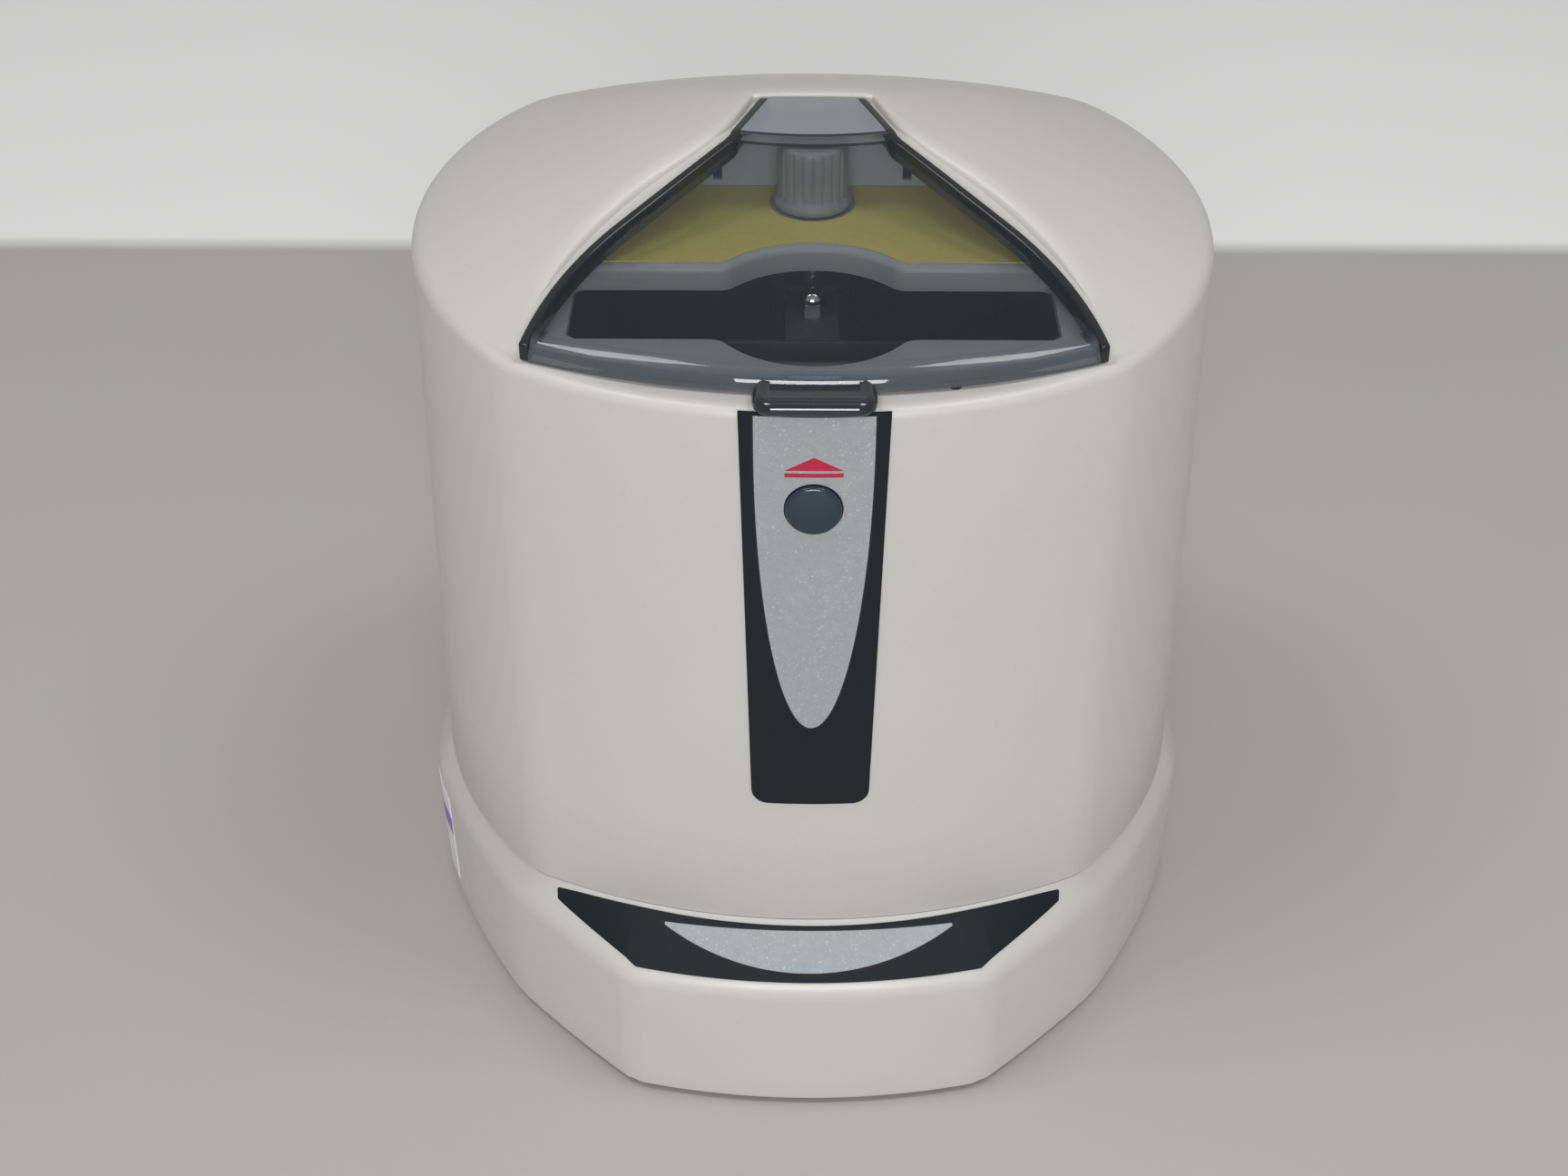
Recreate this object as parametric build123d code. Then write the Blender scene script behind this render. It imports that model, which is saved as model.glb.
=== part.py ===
from build123d import *
import math
import os

# Bench-top microplate centrifuge: a round two-part case, a clear lid over a slotted loading
# deck, and a vertical-axis rotor that carries two plates on edge.
#
# Millimetres, +Z up, front towards -Y. Shapes are drawn about the centre of the round casing;
# every node is moved by ROW_SHIFT_Y when it is written, which puts the origin under the middle
# of the foot print.

# ---------------------------------------------------------------- driving dimensions
BASE_FRONT_Y = -130.0
BASE_BACK_Y = 107.0
ROW_SHIFT_Y = -(BASE_FRONT_Y + BASE_BACK_Y) / 2

WALL = 3.0
FOOT_HEIGHT = 2.0
BASE_SHOULDER_Z = 52.0
SEAM_Z = 65.8
RIM_Z = 252.8

EDGE_Z = 256.0
EDGE_LEAN = 1.7
HOUSING_R_TOP = 121.4
HOUSING_R_FOOT = 126.1
HOUSING_CORNER_R = 6.0
CORNER_INSET = 0.8
FRONT_FOOT = (87.0, -111.8)
FRONT_TOP = (86.6, -111.2)
BACK_FOOT = (92.0, 101.0)
BACK_TOP = (89.8, 98.2)
DOME_RINGS = ((1.0, 0.0, EDGE_LEAN), (0.79, 10.6, 0.25), (0.52, 21.0, 0.0), (0.18, 30.2, 0.0))
DOME_CENTRE_Y = 5.0

BASE_R = 131.2
BASE_CORNER = (57.1, -122.9)
BASE_FLANK = (97.7, -83.8)
BASE_SIDE = (129.3, -22.0)
BASE_REAR = (97.0, 88.5)
BASE_MIDDLE_Y = 5.0
BASE_DRAFT = 0.9
BASE_CHAMFER = 3.0
FLANK_BULGE = 0.6
FOOT_SPLIT_X = 52.0

ROTOR_Y = -4.0
BOWL_R_IN = 95.8
BOWL_R_OUT = 97.3
BOWL_FLOOR_Z = 145.0
BOWL_TOP_Z = 244.0

LID_TOP_Z = 285.8
LID_THICK = 3.0
LID_FLAT_RHO = 87.0
LID_SLOPE = 0.283
LID_CONE_Y = 77.0
LID_FRONT_Y = -103.2
LID_FRONT_R = 198.0
LID_REAR_Y = 17.0
LID_TAIL = (13.4, 25.0)
LID_CREASE = (25.0, -9.0)
LID_BEND = (56.8, -42.4)
LID_BOW = (71.8, -63.1)
LID_CORNER = (80.7, -86.0)
LID_NOSE = (83.4, -110.0)
LID_LIP_Z = 253.8
TRIM_WIDTH = 2.6
TRIM_DEPTH = 6.0
LIP_THICK = 3.0
LIP_SIDE = 2.0
OPENING_GAP = 0.8
OPENING_BACK = 3.7
OPENING_REAR_Y = 20.8
OPENING_REAR_X = 17.7
LEDGE_DEPTH = 6.5
LEDGE_HALF = ((18.0, 21.0), (27.5, -3.5), (50.8, -27.0), (66.4, -47.0), (78.8, -70.0), (82.3, -89.0),
              (83.4, -110.0))
CUT_LOW = 240.0
CUT_TOP = 300.0

HINGE_Y = 15.2
HINGE_Z = 280.6
HINGE_PIN_R = 1.2
HINGE_EAR_R = 2.0
BRACKET_THICK = 2.0
BRACKET_SCREWS = (-7.0, 7.0)
BRACKET_SCREW_Y = 22.0

DECK_FRONT_Z = 256.0
DECK_FLOOR = 3.0
PLATFORM_Z = 261.0
SLOT_HALF_X = 68.7
SLOT_Y = (-77.9, -44.4)
SLOT_CORNER_R = 3.0
NOTCH_R = 30.3
NOTCH_CENTRE_Y = -62.3
NOTCH_BLEND_R = 6.0
PLATFORM_ROUND = 2.5
LABEL_MARGIN = 2.0
WALL_FACE_Y = 8.0

CARRIER_SIZE = (131.0, 22.0, 84.0)
CARRIER_WALL = 1.6
CARRIER_R_IN = 46.0
ROTOR_PLATE_Z = 153.0
CARRIER_Z = 156.0
BAR_Z = (234.0, 237.0)

SHAFT_R = 4.0
RUN_CLEARANCE = 0.05
PRESS_FIT = 0.01
BUSH_R = 7.0
SHAFT_HOLE_R = 9.0
KNOB_Z = 261.8
KNOB_TOP_Z = 281.8
KNOB_R = 10.6

BUTTON_Z = 222.4
BUTTON_R = 7.8
BUTTON_GAP = 0.4
STEM_R = 3.0
PAD_Y = -107.2
GUIDE_THICK = 0.8
LATCH_Y = -104.6
LATCH_Z = 235.5
LATCH_PIN_R = 1.0
LATCH_SLOT = ((-9.5, 9.5), (-104.2, -98.0))
PEG_X = 38.0
PEG_Y = -97.4
PEG_R = 1.2
PEG_HOLE_Y = -97.7
PEG_HOLE_R = 2.1

PLATE_Z = (2.0, 4.5)
PLATE_GAP = 0.4
FOOT_R = 8.0
BOSS_R = 7.0
FOOT_PLACES = ((-78.0, -82.0), (78.0, -82.0), (-84.0, 66.0), (84.0, 66.0))
BOSS_PLACES = ((-90.0, -83.0), (90.0, -83.0), (-92.0, 84.0), (92.0, 84.0))
PILLAR_PLACES = ((-62.0, -62.0), (62.0, -62.0), (-62.0, 62.0), (62.0, 62.0))
BOARD_CENTRE = (0.0, 44.0)
BOARD_SIZE = (80.0, 44.0, 1.6)
BOARD_Z = 12.5
BOARD_HOLE_REACH = (34.0, 16.0)

PANEL_Y = 101.5
PANEL_SIZE = (71.6, 1.8, 31.6)
PANEL_Z = 28.0
INLET_X = -20.0
ROCKER_X = 18.0
ROCKER_PIVOT_Y = 98.5
ROCKER_AXLE_R = 1.0
INLET_BODY = 6.0
SWITCH_BODY = (7.0, 10.5)
BODY_GAP = 0.5

LABEL_THICK = 0.5

MOTOR_R = 31.0
MOTOR_Z = (74.0, 84.0, 138.0)
MOTOR_PLATE_TOP = 141.0
MOTOR_BOLT_REACH = 18.0
DAMPER_REACH = 42.0
BOLT_HOLE_R = 1.8


# ---------------------------------------------------------------- general helpers
def box(x, y, z):
    """A box between the low and high values given for each axis."""
    size = Box(x[1] - x[0], y[1] - y[0], z[1] - z[0], align=(Align.MIN, Align.MIN, Align.MIN))
    return Pos(x[0], y[0], z[0]) * size


def rod(x, y, z, radius):
    """An upright cylinder at (x, y) between two heights."""
    solid = Cylinder(radius, z[1] - z[0], align=(Align.CENTER, Align.CENTER, Align.MIN))
    return Pos(x, y, z[0]) * solid


def rod_x(x, y, z, radius):
    """A cylinder along X between two x values."""
    solid = Cylinder(radius, x[1] - x[0], align=(Align.CENTER, Align.CENTER, Align.MIN))
    return Pos(x[0], y, z) * Rot(0, 90, 0) * solid


def rod_y(x, y, z, radius):
    """A cylinder along Y between two y values."""
    solid = Cylinder(radius, y[1] - y[0], align=(Align.CENTER, Align.CENTER, Align.MIN))
    return Pos(x, y[0], z) * Rot(-90, 0, 0) * solid


def prism(face, low, high):
    """A flat face in plan, raised between two heights."""
    return Pos(0, 0, low) * extrude(face, amount=high - low, dir=(0, 0, 1))


def front_prism(face, y_low, y_high):
    """A face drawn in (x, z), swept along Y between two y values."""
    plane = Plane(origin=(0, y_low, 0), x_dir=(1, 0, 0), z_dir=(0, -1, 0))
    return extrude(plane * face, amount=y_high - y_low, dir=(0, 1, 0))


def side_prism(points, x_low, x_high):
    """A polygon of (y, z) points, swept along X."""
    plane = Plane(origin=(x_low, 0, 0), x_dir=(0, 1, 0), z_dir=(1, 0, 0))
    face = make_face(Polyline(*points, close=True))
    return extrude(plane * face, amount=x_high - x_low)


def polygon(*points):
    """A flat face from its corner points."""
    return make_face(Polyline(*points, close=True))


def mirrored(points):
    """The points followed by their mirror images in x, in reverse order."""
    return list(points) + [(-x, y) for x, y in reversed(points)]


def spread(side, near, far):
    """The x range from near to far on the left (-1) or the right (1)."""
    return (near, far) if side > 0 else (-far, -near)


def upright(edges):
    """Those edges that run along Z."""
    return edges.filter_by(Axis.Z)


# ---------------------------------------------------------------- case outlines
def lerp(low, high, share):
    return low + (high - low) * share


def housing_outline(z, inset=0.0):
    """Plan of the upper housing at a height: a circle flattened at the front and the back."""
    share = (z - SEAM_Z) / (EDGE_Z - SEAM_Z)
    radius = lerp(HOUSING_R_FOOT, HOUSING_R_TOP, share) - inset
    front_x = lerp(FRONT_FOOT[0], FRONT_TOP[0], share) - CORNER_INSET * inset
    front_y = lerp(FRONT_FOOT[1], FRONT_TOP[1], share) + inset
    back_x = lerp(BACK_FOOT[0], BACK_TOP[0], share) - CORNER_INSET * inset
    back_y = lerp(BACK_FOOT[1], BACK_TOP[1], share) - inset
    front_corner_y = -math.sqrt(radius ** 2 - front_x ** 2)
    back_corner_y = math.sqrt(radius ** 2 - back_x ** 2)
    front = ThreePointArc((-front_x, front_corner_y), (0, front_y), (front_x, front_corner_y))
    right = ThreePointArc((front_x, front_corner_y), (radius, 0), (back_x, back_corner_y))
    back = ThreePointArc((back_x, back_corner_y), (0, back_y), (-back_x, back_corner_y))
    left = ThreePointArc((-back_x, back_corner_y), (-radius, 0), (-front_x, front_corner_y))
    face = make_face([front, right, back, left])
    return fillet(face.vertices(), HOUSING_CORNER_R)


def edge_plane(z, lean=EDGE_LEAN):
    """A plane at a height, such as that of the housing's top edge, which leans to the front."""
    angle = math.radians(lean)
    return Plane(origin=(0, 0, z), x_dir=(1, 0, 0), z_dir=(0, -math.sin(angle), math.cos(angle)))


def housing_wall(inset=0.0, drop=0.0, foot=SEAM_Z, grow=0.0):
    """Everything inside the housing's upright wall, up to its leaning top edge."""
    outline = housing_outline(EDGE_Z, inset - grow)
    return loft([Pos(0, 0, foot) * housing_outline(foot, inset - grow), edge_plane(EDGE_Z - drop) * outline],
                ruled=True)


def housing_dome(inset=0.0, drop=0.0):
    """The shoulder above the top edge, which rises gently to the lid."""
    outline = housing_outline(EDGE_Z, inset)
    rings = []
    for size, rise, lean in DOME_RINGS:
        ring = scale(Pos(0, -DOME_CENTRE_Y, 0) * outline, by=size)
        plane = edge_plane(EDGE_Z - drop + rise, lean)
        rings.append(plane * (Pos(0, DOME_CENTRE_Y, 0) * ring))
    return loft(rings)


def base_outline(z, inset=0.0):
    """Plan of the base: front arc, two bevelled flanks, round sides and a flattened back."""
    grow = BASE_DRAFT * (z - PLATE_Z[0]) / (BASE_SHOULDER_Z - PLATE_Z[0]) - inset
    corner = (BASE_CORNER[0] + 0.3 * grow, BASE_CORNER[1] - grow)
    flank = (BASE_FLANK[0] + 0.75 * grow, BASE_FLANK[1] - 0.66 * grow)
    side = (BASE_SIDE[0] + grow, BASE_SIDE[1])
    rear = (BASE_REAR[0] + 0.7 * grow, BASE_REAR[1] + 0.7 * grow)
    middle = (BASE_R + grow, BASE_MIDDLE_Y)
    return outline_from(corner, flank, side, middle, rear, BASE_FRONT_Y + inset, BASE_BACK_Y - inset)


def foot_outline(inset=0.0):
    """The housing's foot line, split so that it matches the base outline edge by edge."""
    radius = HOUSING_R_FOOT - inset
    front_x = FRONT_FOOT[0] - CORNER_INSET * inset
    front_y = FRONT_FOOT[1] + inset
    corner_y = -math.sqrt(radius ** 2 - front_x ** 2)
    sag = corner_y - front_y
    arc_r = (front_x ** 2 + sag ** 2) / (2 * sag)
    corner = (FOOT_SPLIT_X, front_y + arc_r - math.sqrt(arc_r ** 2 - FOOT_SPLIT_X ** 2))
    side = (math.sqrt(radius ** 2 - BASE_SIDE[1] ** 2), BASE_SIDE[1])
    rear_x = BACK_FOOT[0] - CORNER_INSET * inset
    rear = (rear_x, math.sqrt(radius ** 2 - rear_x ** 2))
    return outline_from(corner, (front_x, corner_y), side, (radius, 0.0), rear, front_y, BACK_FOOT[1] - inset)


def outline_from(corner, flank, side, middle, rear, front_y, back_y):
    """A symmetric plan outline of eight edges through its right-hand corner points."""
    left = [(-point[0], point[1]) for point in (corner, flank, side, middle, rear)]
    near = ((corner[0] + flank[0]) / 2 + FLANK_BULGE, (corner[1] + flank[1]) / 2 - FLANK_BULGE)
    far = ((flank[0] + side[0]) / 2 + 3 * FLANK_BULGE, (flank[1] + side[1]) / 2 - 2 * FLANK_BULGE)
    edges = [
        ThreePointArc(left[0], (0, front_y), corner),
        ThreePointArc(corner, near, flank),
        ThreePointArc(flank, far, side),
        ThreePointArc(side, middle, rear),
        ThreePointArc(rear, (0, back_y), left[4]),
        ThreePointArc(left[4], left[3], left[2]),
        ThreePointArc(left[2], (-far[0], far[1]), left[1]),
        ThreePointArc(left[1], (-near[0], near[1]), left[0]),
    ]
    return make_face(edges)


def base_wall(inset=0.0, foot=PLATE_Z[0], top=BASE_SHOULDER_Z):
    """Everything inside the base's wall between two heights."""
    return loft([Pos(0, 0, foot) * base_outline(foot, inset), Pos(0, 0, top) * base_outline(top, inset)],
                ruled=True)


def base_ledge(inset=0.0, drop=0.0):
    """The sloped ledge between the base's shoulder and the foot of the housing."""
    low = Pos(0, 0, BASE_SHOULDER_Z - drop) * base_outline(BASE_SHOULDER_Z, inset)
    high = Pos(0, 0, SEAM_Z - drop) * foot_outline(inset)
    return loft([low, high], ruled=True)


# ---------------------------------------------------------------- lid outlines
def lid_side_face():
    """The lid's plan between its two side lines, open-ended at the front and the back."""
    right = (LID_TAIL, LID_CREASE, LID_BEND, LID_BOW, LID_CORNER, LID_NOSE)
    left = [(-x, y) for x, y in right]
    edges = [
        Polyline(*right[:3]),
        ThreePointArc(*right[2:5]),
        Line(right[4], right[5]),
        Line(right[5], left[5]),
        Line(left[5], left[4]),
        ThreePointArc(left[4], left[3], left[2]),
        Polyline(left[2], left[1], left[0]),
        Line(left[0], right[0]),
    ]
    return make_face(edges)


def lid_footprint(side=0.0, front=0.0, rear=LID_REAR_Y):
    """Plan of the lid, moved outwards by `side`, with its front arc moved back by `front`."""
    sides = lid_side_face()
    if side:
        sides = offset(sides, side, kind=Kind.INTERSECTION)
    front_disc = Pos(0, LID_FRONT_Y + LID_FRONT_R, 0) * Circle(LID_FRONT_R - front)
    half_plane = Pos(0, rear - 100.0, 0) * Rectangle(240.0, 200.0)
    return sides & front_disc & half_plane


def under_lid(rise=0.0, low=200.0):
    """Everything under the lid's top surface moved up by `rise`: flat, then a shallow cone."""
    top = LID_TOP_Z + rise
    rim = 215.0
    rim_top = top - LID_SLOPE * (rim - LID_FLAT_RHO)
    profile = polygon((0, low), (rim, low), (rim, rim_top), (LID_FLAT_RHO, top), (0, top))
    return Pos(0, LID_CONE_Y, 0) * revolve(Plane.XZ * profile, Axis.Z)


def ledge_footprint(grow=0.0):
    """The strip of housing around the lid, wider at the sides than at the back."""
    face = polygon(*mirrored(LEDGE_HALF))
    front_disc = Pos(0, LID_FRONT_Y + LID_FRONT_R, 0) * Circle(LID_FRONT_R - 0.2)
    if grow:
        face = offset(face, grow, kind=Kind.INTERSECTION)
    return face & front_disc


# ---------------------------------------------------------------- case
def above_deck(face):
    """A prism through the deck and everything above it."""
    return prism(face, CUT_LOW, CUT_TOP)


def button_hole():
    """The hole that the lid button moves in."""
    return rod_y(0, (BASE_FRONT_Y, -100.0), BUTTON_Z, BUTTON_R + BUTTON_GAP)


def upper_housing():
    inner_foot = SEAM_Z - 1.0
    outer = housing_wall() + housing_dome()
    inner = housing_wall(WALL, WALL, inner_foot) + housing_dome(WALL, WALL)
    ledge_low = CUT_LOW - 10.0
    band = (outer & prism(ledge_footprint(WALL), ledge_low, CUT_TOP)) - under_lid(-LEDGE_DEPTH)
    front_x = (-95.0, 95.0)
    rim_cut = prism(lid_footprint(OPENING_GAP, -OPENING_GAP), RIM_Z, CUT_TOP)
    rim_cut = rim_cut & box(front_x, (BASE_FRONT_Y, -80.0), (RIM_Z, CUT_TOP))
    front_face = [(BASE_FRONT_Y, RIM_Z), (-97.0, RIM_Z), (-80.0, CUT_TOP), (BASE_FRONT_Y, CUT_TOP)]
    front_cut = side_prism(front_face, BASE_FRONT_Y, -BASE_FRONT_Y)
    rim_floor = housing_wall() & box(front_x, (-125.0, -85.0), (RIM_Z - WALL, RIM_Z))
    rim_floor = rim_floor - above_deck(lid_footprint(-1.0, LIP_THICK))
    latch_pad = box((-17.0, 17.0), (PAD_Y - WALL, PAD_Y), (211.0, 242.0))
    shell = outer - inner + band + rim_floor + latch_pad
    shell = shell - front_cut - rim_cut
    recess = prism(ledge_footprint(), ledge_low, CUT_TOP) - under_lid(-LID_THICK)
    opening = above_deck(lid_footprint(OPENING_GAP, OPENING_BACK, OPENING_REAR_Y))
    opening = opening + box((-OPENING_REAR_X, OPENING_REAR_X), (12.0, OPENING_REAR_Y), (CUT_LOW, CUT_TOP))
    latch_slot = box(*LATCH_SLOT, (CUT_LOW, EDGE_Z))
    peg_hole = rod(PEG_X, PEG_HOLE_Y, (CUT_LOW, EDGE_Z), PEG_HOLE_R)
    return shell - recess - opening - latch_slot - peg_hole - button_hole()


def panel_block(x, half, tall, y=(90.0, 110.0)):
    """A box round a place on the rear panel, given by its half width and half height."""
    return box((x - half, x + half), y, (PANEL_Z - tall, PANEL_Z + tall))


def base_shell():
    outer = base_wall() + base_ledge()
    shoulder = [edge for edge in outer.edges() if abs(edge.center().Z - BASE_SHOULDER_Z) < 0.5]
    outer = chamfer(shoulder, BASE_CHAMFER)
    inner = base_wall(WALL, 0.0, BASE_SHOULDER_Z - 1.5) + base_ledge(WALL, 1.5)
    shell = outer - inner
    opening = Pos(0, 0, SEAM_Z - 8.0) * extrude(foot_outline(WALL + 0.2), amount=12.0)
    shell = shell - opening
    for place in BOSS_PLACES:
        shell = shell + (rod(*place, (PLATE_Z[1], 18.0), BOSS_R) & outer)
    gap = 0.2
    half = PANEL_SIZE[0] / 2 + gap
    tall = PANEL_SIZE[2] / 2 + gap
    backing = panel_block(0.0, half + WALL, tall + WALL, (PANEL_Y - WALL, BASE_BACK_Y)) & outer
    shell = shell + backing - panel_block(0.0, half, tall, (PANEL_Y, BASE_BACK_Y + WALL))
    shell = shell - panel_block(INLET_X, INLET_BODY + BODY_GAP, INLET_BODY + BODY_GAP)
    shell = shell - panel_block(ROCKER_X, SWITCH_BODY[0] + 2 * BODY_GAP, SWITCH_BODY[1] + 2 * BODY_GAP)
    for place in BOSS_PLACES:
        shell = shell - rod(*place, (0.0, 14.0), 1.6)
    return shell


def bottom_plate():
    plate = Pos(0, 0, PLATE_Z[0]) * extrude(base_outline(PLATE_Z[0], WALL + PLATE_GAP),
                                            amount=PLATE_Z[1] - PLATE_Z[0])
    vent = SlotOverall(34.0, 3.6)
    pitch = 12.0
    for row in range(6):
        for side in (-1, 1):
            plate = plate - prism(Pos(26.0 * side, -48.0 + pitch * row, 0) * vent, 0.0, 6.0)
    for place in BOSS_PLACES:
        plate = plate - rod(*place, (0.0, 6.0), 1.7)
    return plate


def rubber_foot(place):
    foot = rod(*place, (0.0, FOOT_HEIGHT), FOOT_R)
    return chamfer(foot.edges().group_by(Axis.Z)[0], 0.6)


def plate_screws():
    solids = []
    for place in BOSS_PLACES:
        head = rod(*place, (0.9, PLATE_Z[0]), 3.0)
        stem = rod(*place, (PLATE_Z[0], 13.0), 1.58)
        socket = Pos(place[0], place[1], 0) * extrude(RegularPolygon(1.25, 6), amount=1.6)
        solids.append(head + stem - socket)
    return Compound(solids)


# ---------------------------------------------------------------- labels
def tapered_face(half_top, z_top, half_low, z_low, corner):
    """A tapered strip in (x, z) with rounded bottom corners."""
    face = polygon((-half_top, z_top), (half_top, z_top), (half_low, z_low), (-half_low, z_low))
    return fillet(face.vertices().sort_by(Axis.Y)[:2], corner)


def inlay_face():
    """A long half ellipse in (x, z), carried on straight to its top."""
    top = 251.6
    middle = 243.0
    tip = 144.9
    half = 16.4
    bowl = Pos(0, middle, 0) * Ellipse(half, middle - tip)
    bowl = bowl & (Pos(0, (middle + tip) / 2, 0) * Rectangle(3 * half, middle - tip))
    return bowl + Pos(0, (middle + top) / 2, 0) * Rectangle(2 * half, top - middle)


def front_skin():
    """A skin as thick as a label all over the housing's front."""
    skin = housing_wall(0.0, 0.0, SEAM_Z, LABEL_THICK) - housing_wall()
    return skin & box((-60.0, 60.0), (BASE_FRONT_Y, -60.0), (SEAM_Z + 1, RIM_Z))


def at_front(face):
    """A face in (x, z) swept through the front wall."""
    return front_prism(face, BASE_FRONT_Y, -90.0)


def front_label():
    strip = at_front(tapered_face(20.65, RIM_Z + 5, 17.6, 115.0, 6.0))
    return (front_skin() & strip) - at_front(inlay_face()) - button_hole()


def front_label_inlay():
    return (front_skin() & at_front(inlay_face())) - button_hole()


def ledge_skin():
    """A skin as thick as a label on the sloped ledge of the base."""
    return Pos(0, 0, LABEL_THICK) * base_ledge() - base_ledge() - housing_wall(0, 0, SEAM_Z - WALL)


def crescent_face():
    """A crescent in plan along the foot of the housing, with blunt tips."""
    right = ((80.4, -95.2), (82.8, -95.4), (54.5, -121.4))
    left = [(-x, y) for x, y in right]
    edges = [
        ThreePointArc(left[0], (0, -113.6), right[0]),
        Polyline(*right),
        ThreePointArc(right[2], (0, -127.8), left[2]),
        Polyline(*reversed(left)),
    ]
    face = make_face(edges)
    tips = [point for point in face.vertices() if abs(point.X) > right[2][0] + 1]
    return fillet(tips, 0.9)


def lens_face():
    """A lens in plan inside the crescent."""
    tip = (47.0, -110.2)
    left_tip = (-tip[0], tip[1])
    edges = [
        ThreePointArc(left_tip, (0, -114.9), tip),
        ThreePointArc(tip, (0, -125.5), left_tip),
    ]
    return make_face(edges)


def through_ledge(face):
    """A face in plan raised through the base's ledge."""
    return prism(face, 40.0, 80.0)


def base_label():
    return (ledge_skin() & through_ledge(crescent_face())) - through_ledge(lens_face())


def base_label_inlay():
    return ledge_skin() & through_ledge(lens_face())


def side_label():
    skin = base_wall(-0.3) - base_wall()
    return skin & box((-140.0, -100.0), (-34.0, -6.0), (8.0, 46.0))


# ---------------------------------------------------------------- lid
def lid_window():
    outer = prism(lid_footprint(-TRIM_WIDTH), LID_LIP_Z, CUT_TOP) & under_lid()
    front_top = [edge for edge in outer.edges()
                 if edge.center().Y < -90 and 255 < edge.center().Z < 262 and edge.length > 100]
    outer = fillet(front_top, 3.5)
    rear_top = [edge for edge in outer.edges()
                if abs(edge.center().Y - LID_REAR_Y) < 0.1 and edge.center().Z > LID_TOP_Z - 0.2]
    outer = fillet(rear_top, 1.5)
    inner = above_deck(lid_footprint(LIP_SIDE, LIP_THICK, LID_REAR_Y + 5)) & under_lid(-LID_THICK)
    return outer - inner


def lid_side_trim(side):
    """The black edge strip on one side of the lid, flat-ended at the front."""
    band = lid_footprint() - lid_footprint(-TRIM_WIDTH, -5.0, LID_REAR_Y + 5)
    right_half = box((0.0, 120.0), (-120.0, 30.0), (LID_LIP_Z, CUT_TOP))
    strip = above_deck(band) & under_lid() & right_half
    strip = strip - under_lid(-TRIM_DEPTH)
    return mirror(strip, Plane.YZ) if side < 0 else strip


def finger_tab():
    profile = [(-103.2, LID_LIP_Z), (-114.4, LID_LIP_Z), (-115.4, 254.8), (-115.2, 256.4), (-113.6, 257.7),
               (-103.2, 258.2)]
    width = 33.5
    tab = side_prism(profile, -width / 2, width / 2)
    outline = Pos(0, -108.2, 0) * RectangleRounded(width, 14.4, 5.0)
    slot = prism(Pos(0, -106.0, 0) * SlotOverall(20.0, 2.4), 256.6, 262.0)
    return (tab & above_deck(outline)) - above_deck(lid_footprint()) - slot


def lid_strike():
    plate = box((-7.0, 7.0), (-100.2, -98.9), (246.8, 256.9))
    lip = above_deck(lid_footprint() - lid_footprint(LIP_SIDE, LIP_THICK))
    window = box((-4.5, 4.5), (-102.0, -98.0), (247.6, 250.4))
    return plate - lip - window


def switch_peg():
    return rod(PEG_X, PEG_Y, (250.5, LID_LIP_Z), PEG_R)


# ---------------------------------------------------------------- hinge
def hinge_lugs():
    """Two lugs on a cross bar, fixed under the back of the lid."""
    under = LID_TOP_Z - LID_THICK
    reach = 8.8
    part = box((-reach, reach), (11.0, 13.2), (under - 1.6, under))
    for side in (-1, 1):
        x = spread(side, 5.0, reach)
        part = part + rod_x(x, HINGE_Y, HINGE_Z, 2.1) + box(x, (12.0, HINGE_Y + 1.2), (HINGE_Z, under))
    return part - rod_x((-reach, reach), HINGE_Y, HINGE_Z, HINGE_PIN_R + RUN_CLEARANCE)


def hinge_bracket():
    top = DECK_FRONT_Z + BRACKET_THICK
    ear_y = (13.2, 16.9)
    part = box((-18.0, 18.0), (11.0, 27.0), (DECK_FRONT_Z, top))
    for side in (-1, 1):
        x = spread(side, 10.4, 13.2)
        ear = box(x, ear_y, (top, HINGE_Z - 0.5)) + rod_x(x, HINGE_Y, HINGE_Z, HINGE_EAR_R)
        gusset = side_prism([(ear_y[1], top), (25.0, top), (ear_y[1], top + 12.0)], *x)
        part = part + ear + gusset
    part = part - rod_x((-18.0, 18.0), HINGE_Y, HINGE_Z, HINGE_PIN_R)
    for x in BRACKET_SCREWS:
        part = part - rod(x, BRACKET_SCREW_Y, (CUT_LOW, top + 1), 1.5)
    return part


def hinge_pin():
    return rod_x((-13.4, 13.4), HINGE_Y, HINGE_Z, HINGE_PIN_R)


def hinge_washers():
    solids = []
    for side in (-1, 1):
        x = spread(side, 8.95, 10.25)
        ring = rod_x(x, HINGE_Y, HINGE_Z, HINGE_EAR_R)
        solids.append(ring - rod_x(x, HINGE_Y, HINGE_Z, HINGE_PIN_R + 0.02))
    return Compound(solids)


def bracket_screws():
    solids = []
    top = DECK_FRONT_Z + BRACKET_THICK
    for x in BRACKET_SCREWS:
        head = rod(x, BRACKET_SCREW_Y, (top, top + 1.8), 2.8)
        stem = rod(x, BRACKET_SCREW_Y, (DECK_FRONT_Z, top), 1.48)
        socket = Pos(x, BRACKET_SCREW_Y, top + 0.8) * extrude(RegularPolygon(1.25, 6), amount=2.0)
        solids.append(head + stem - socket)
    return Compound(solids)


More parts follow.
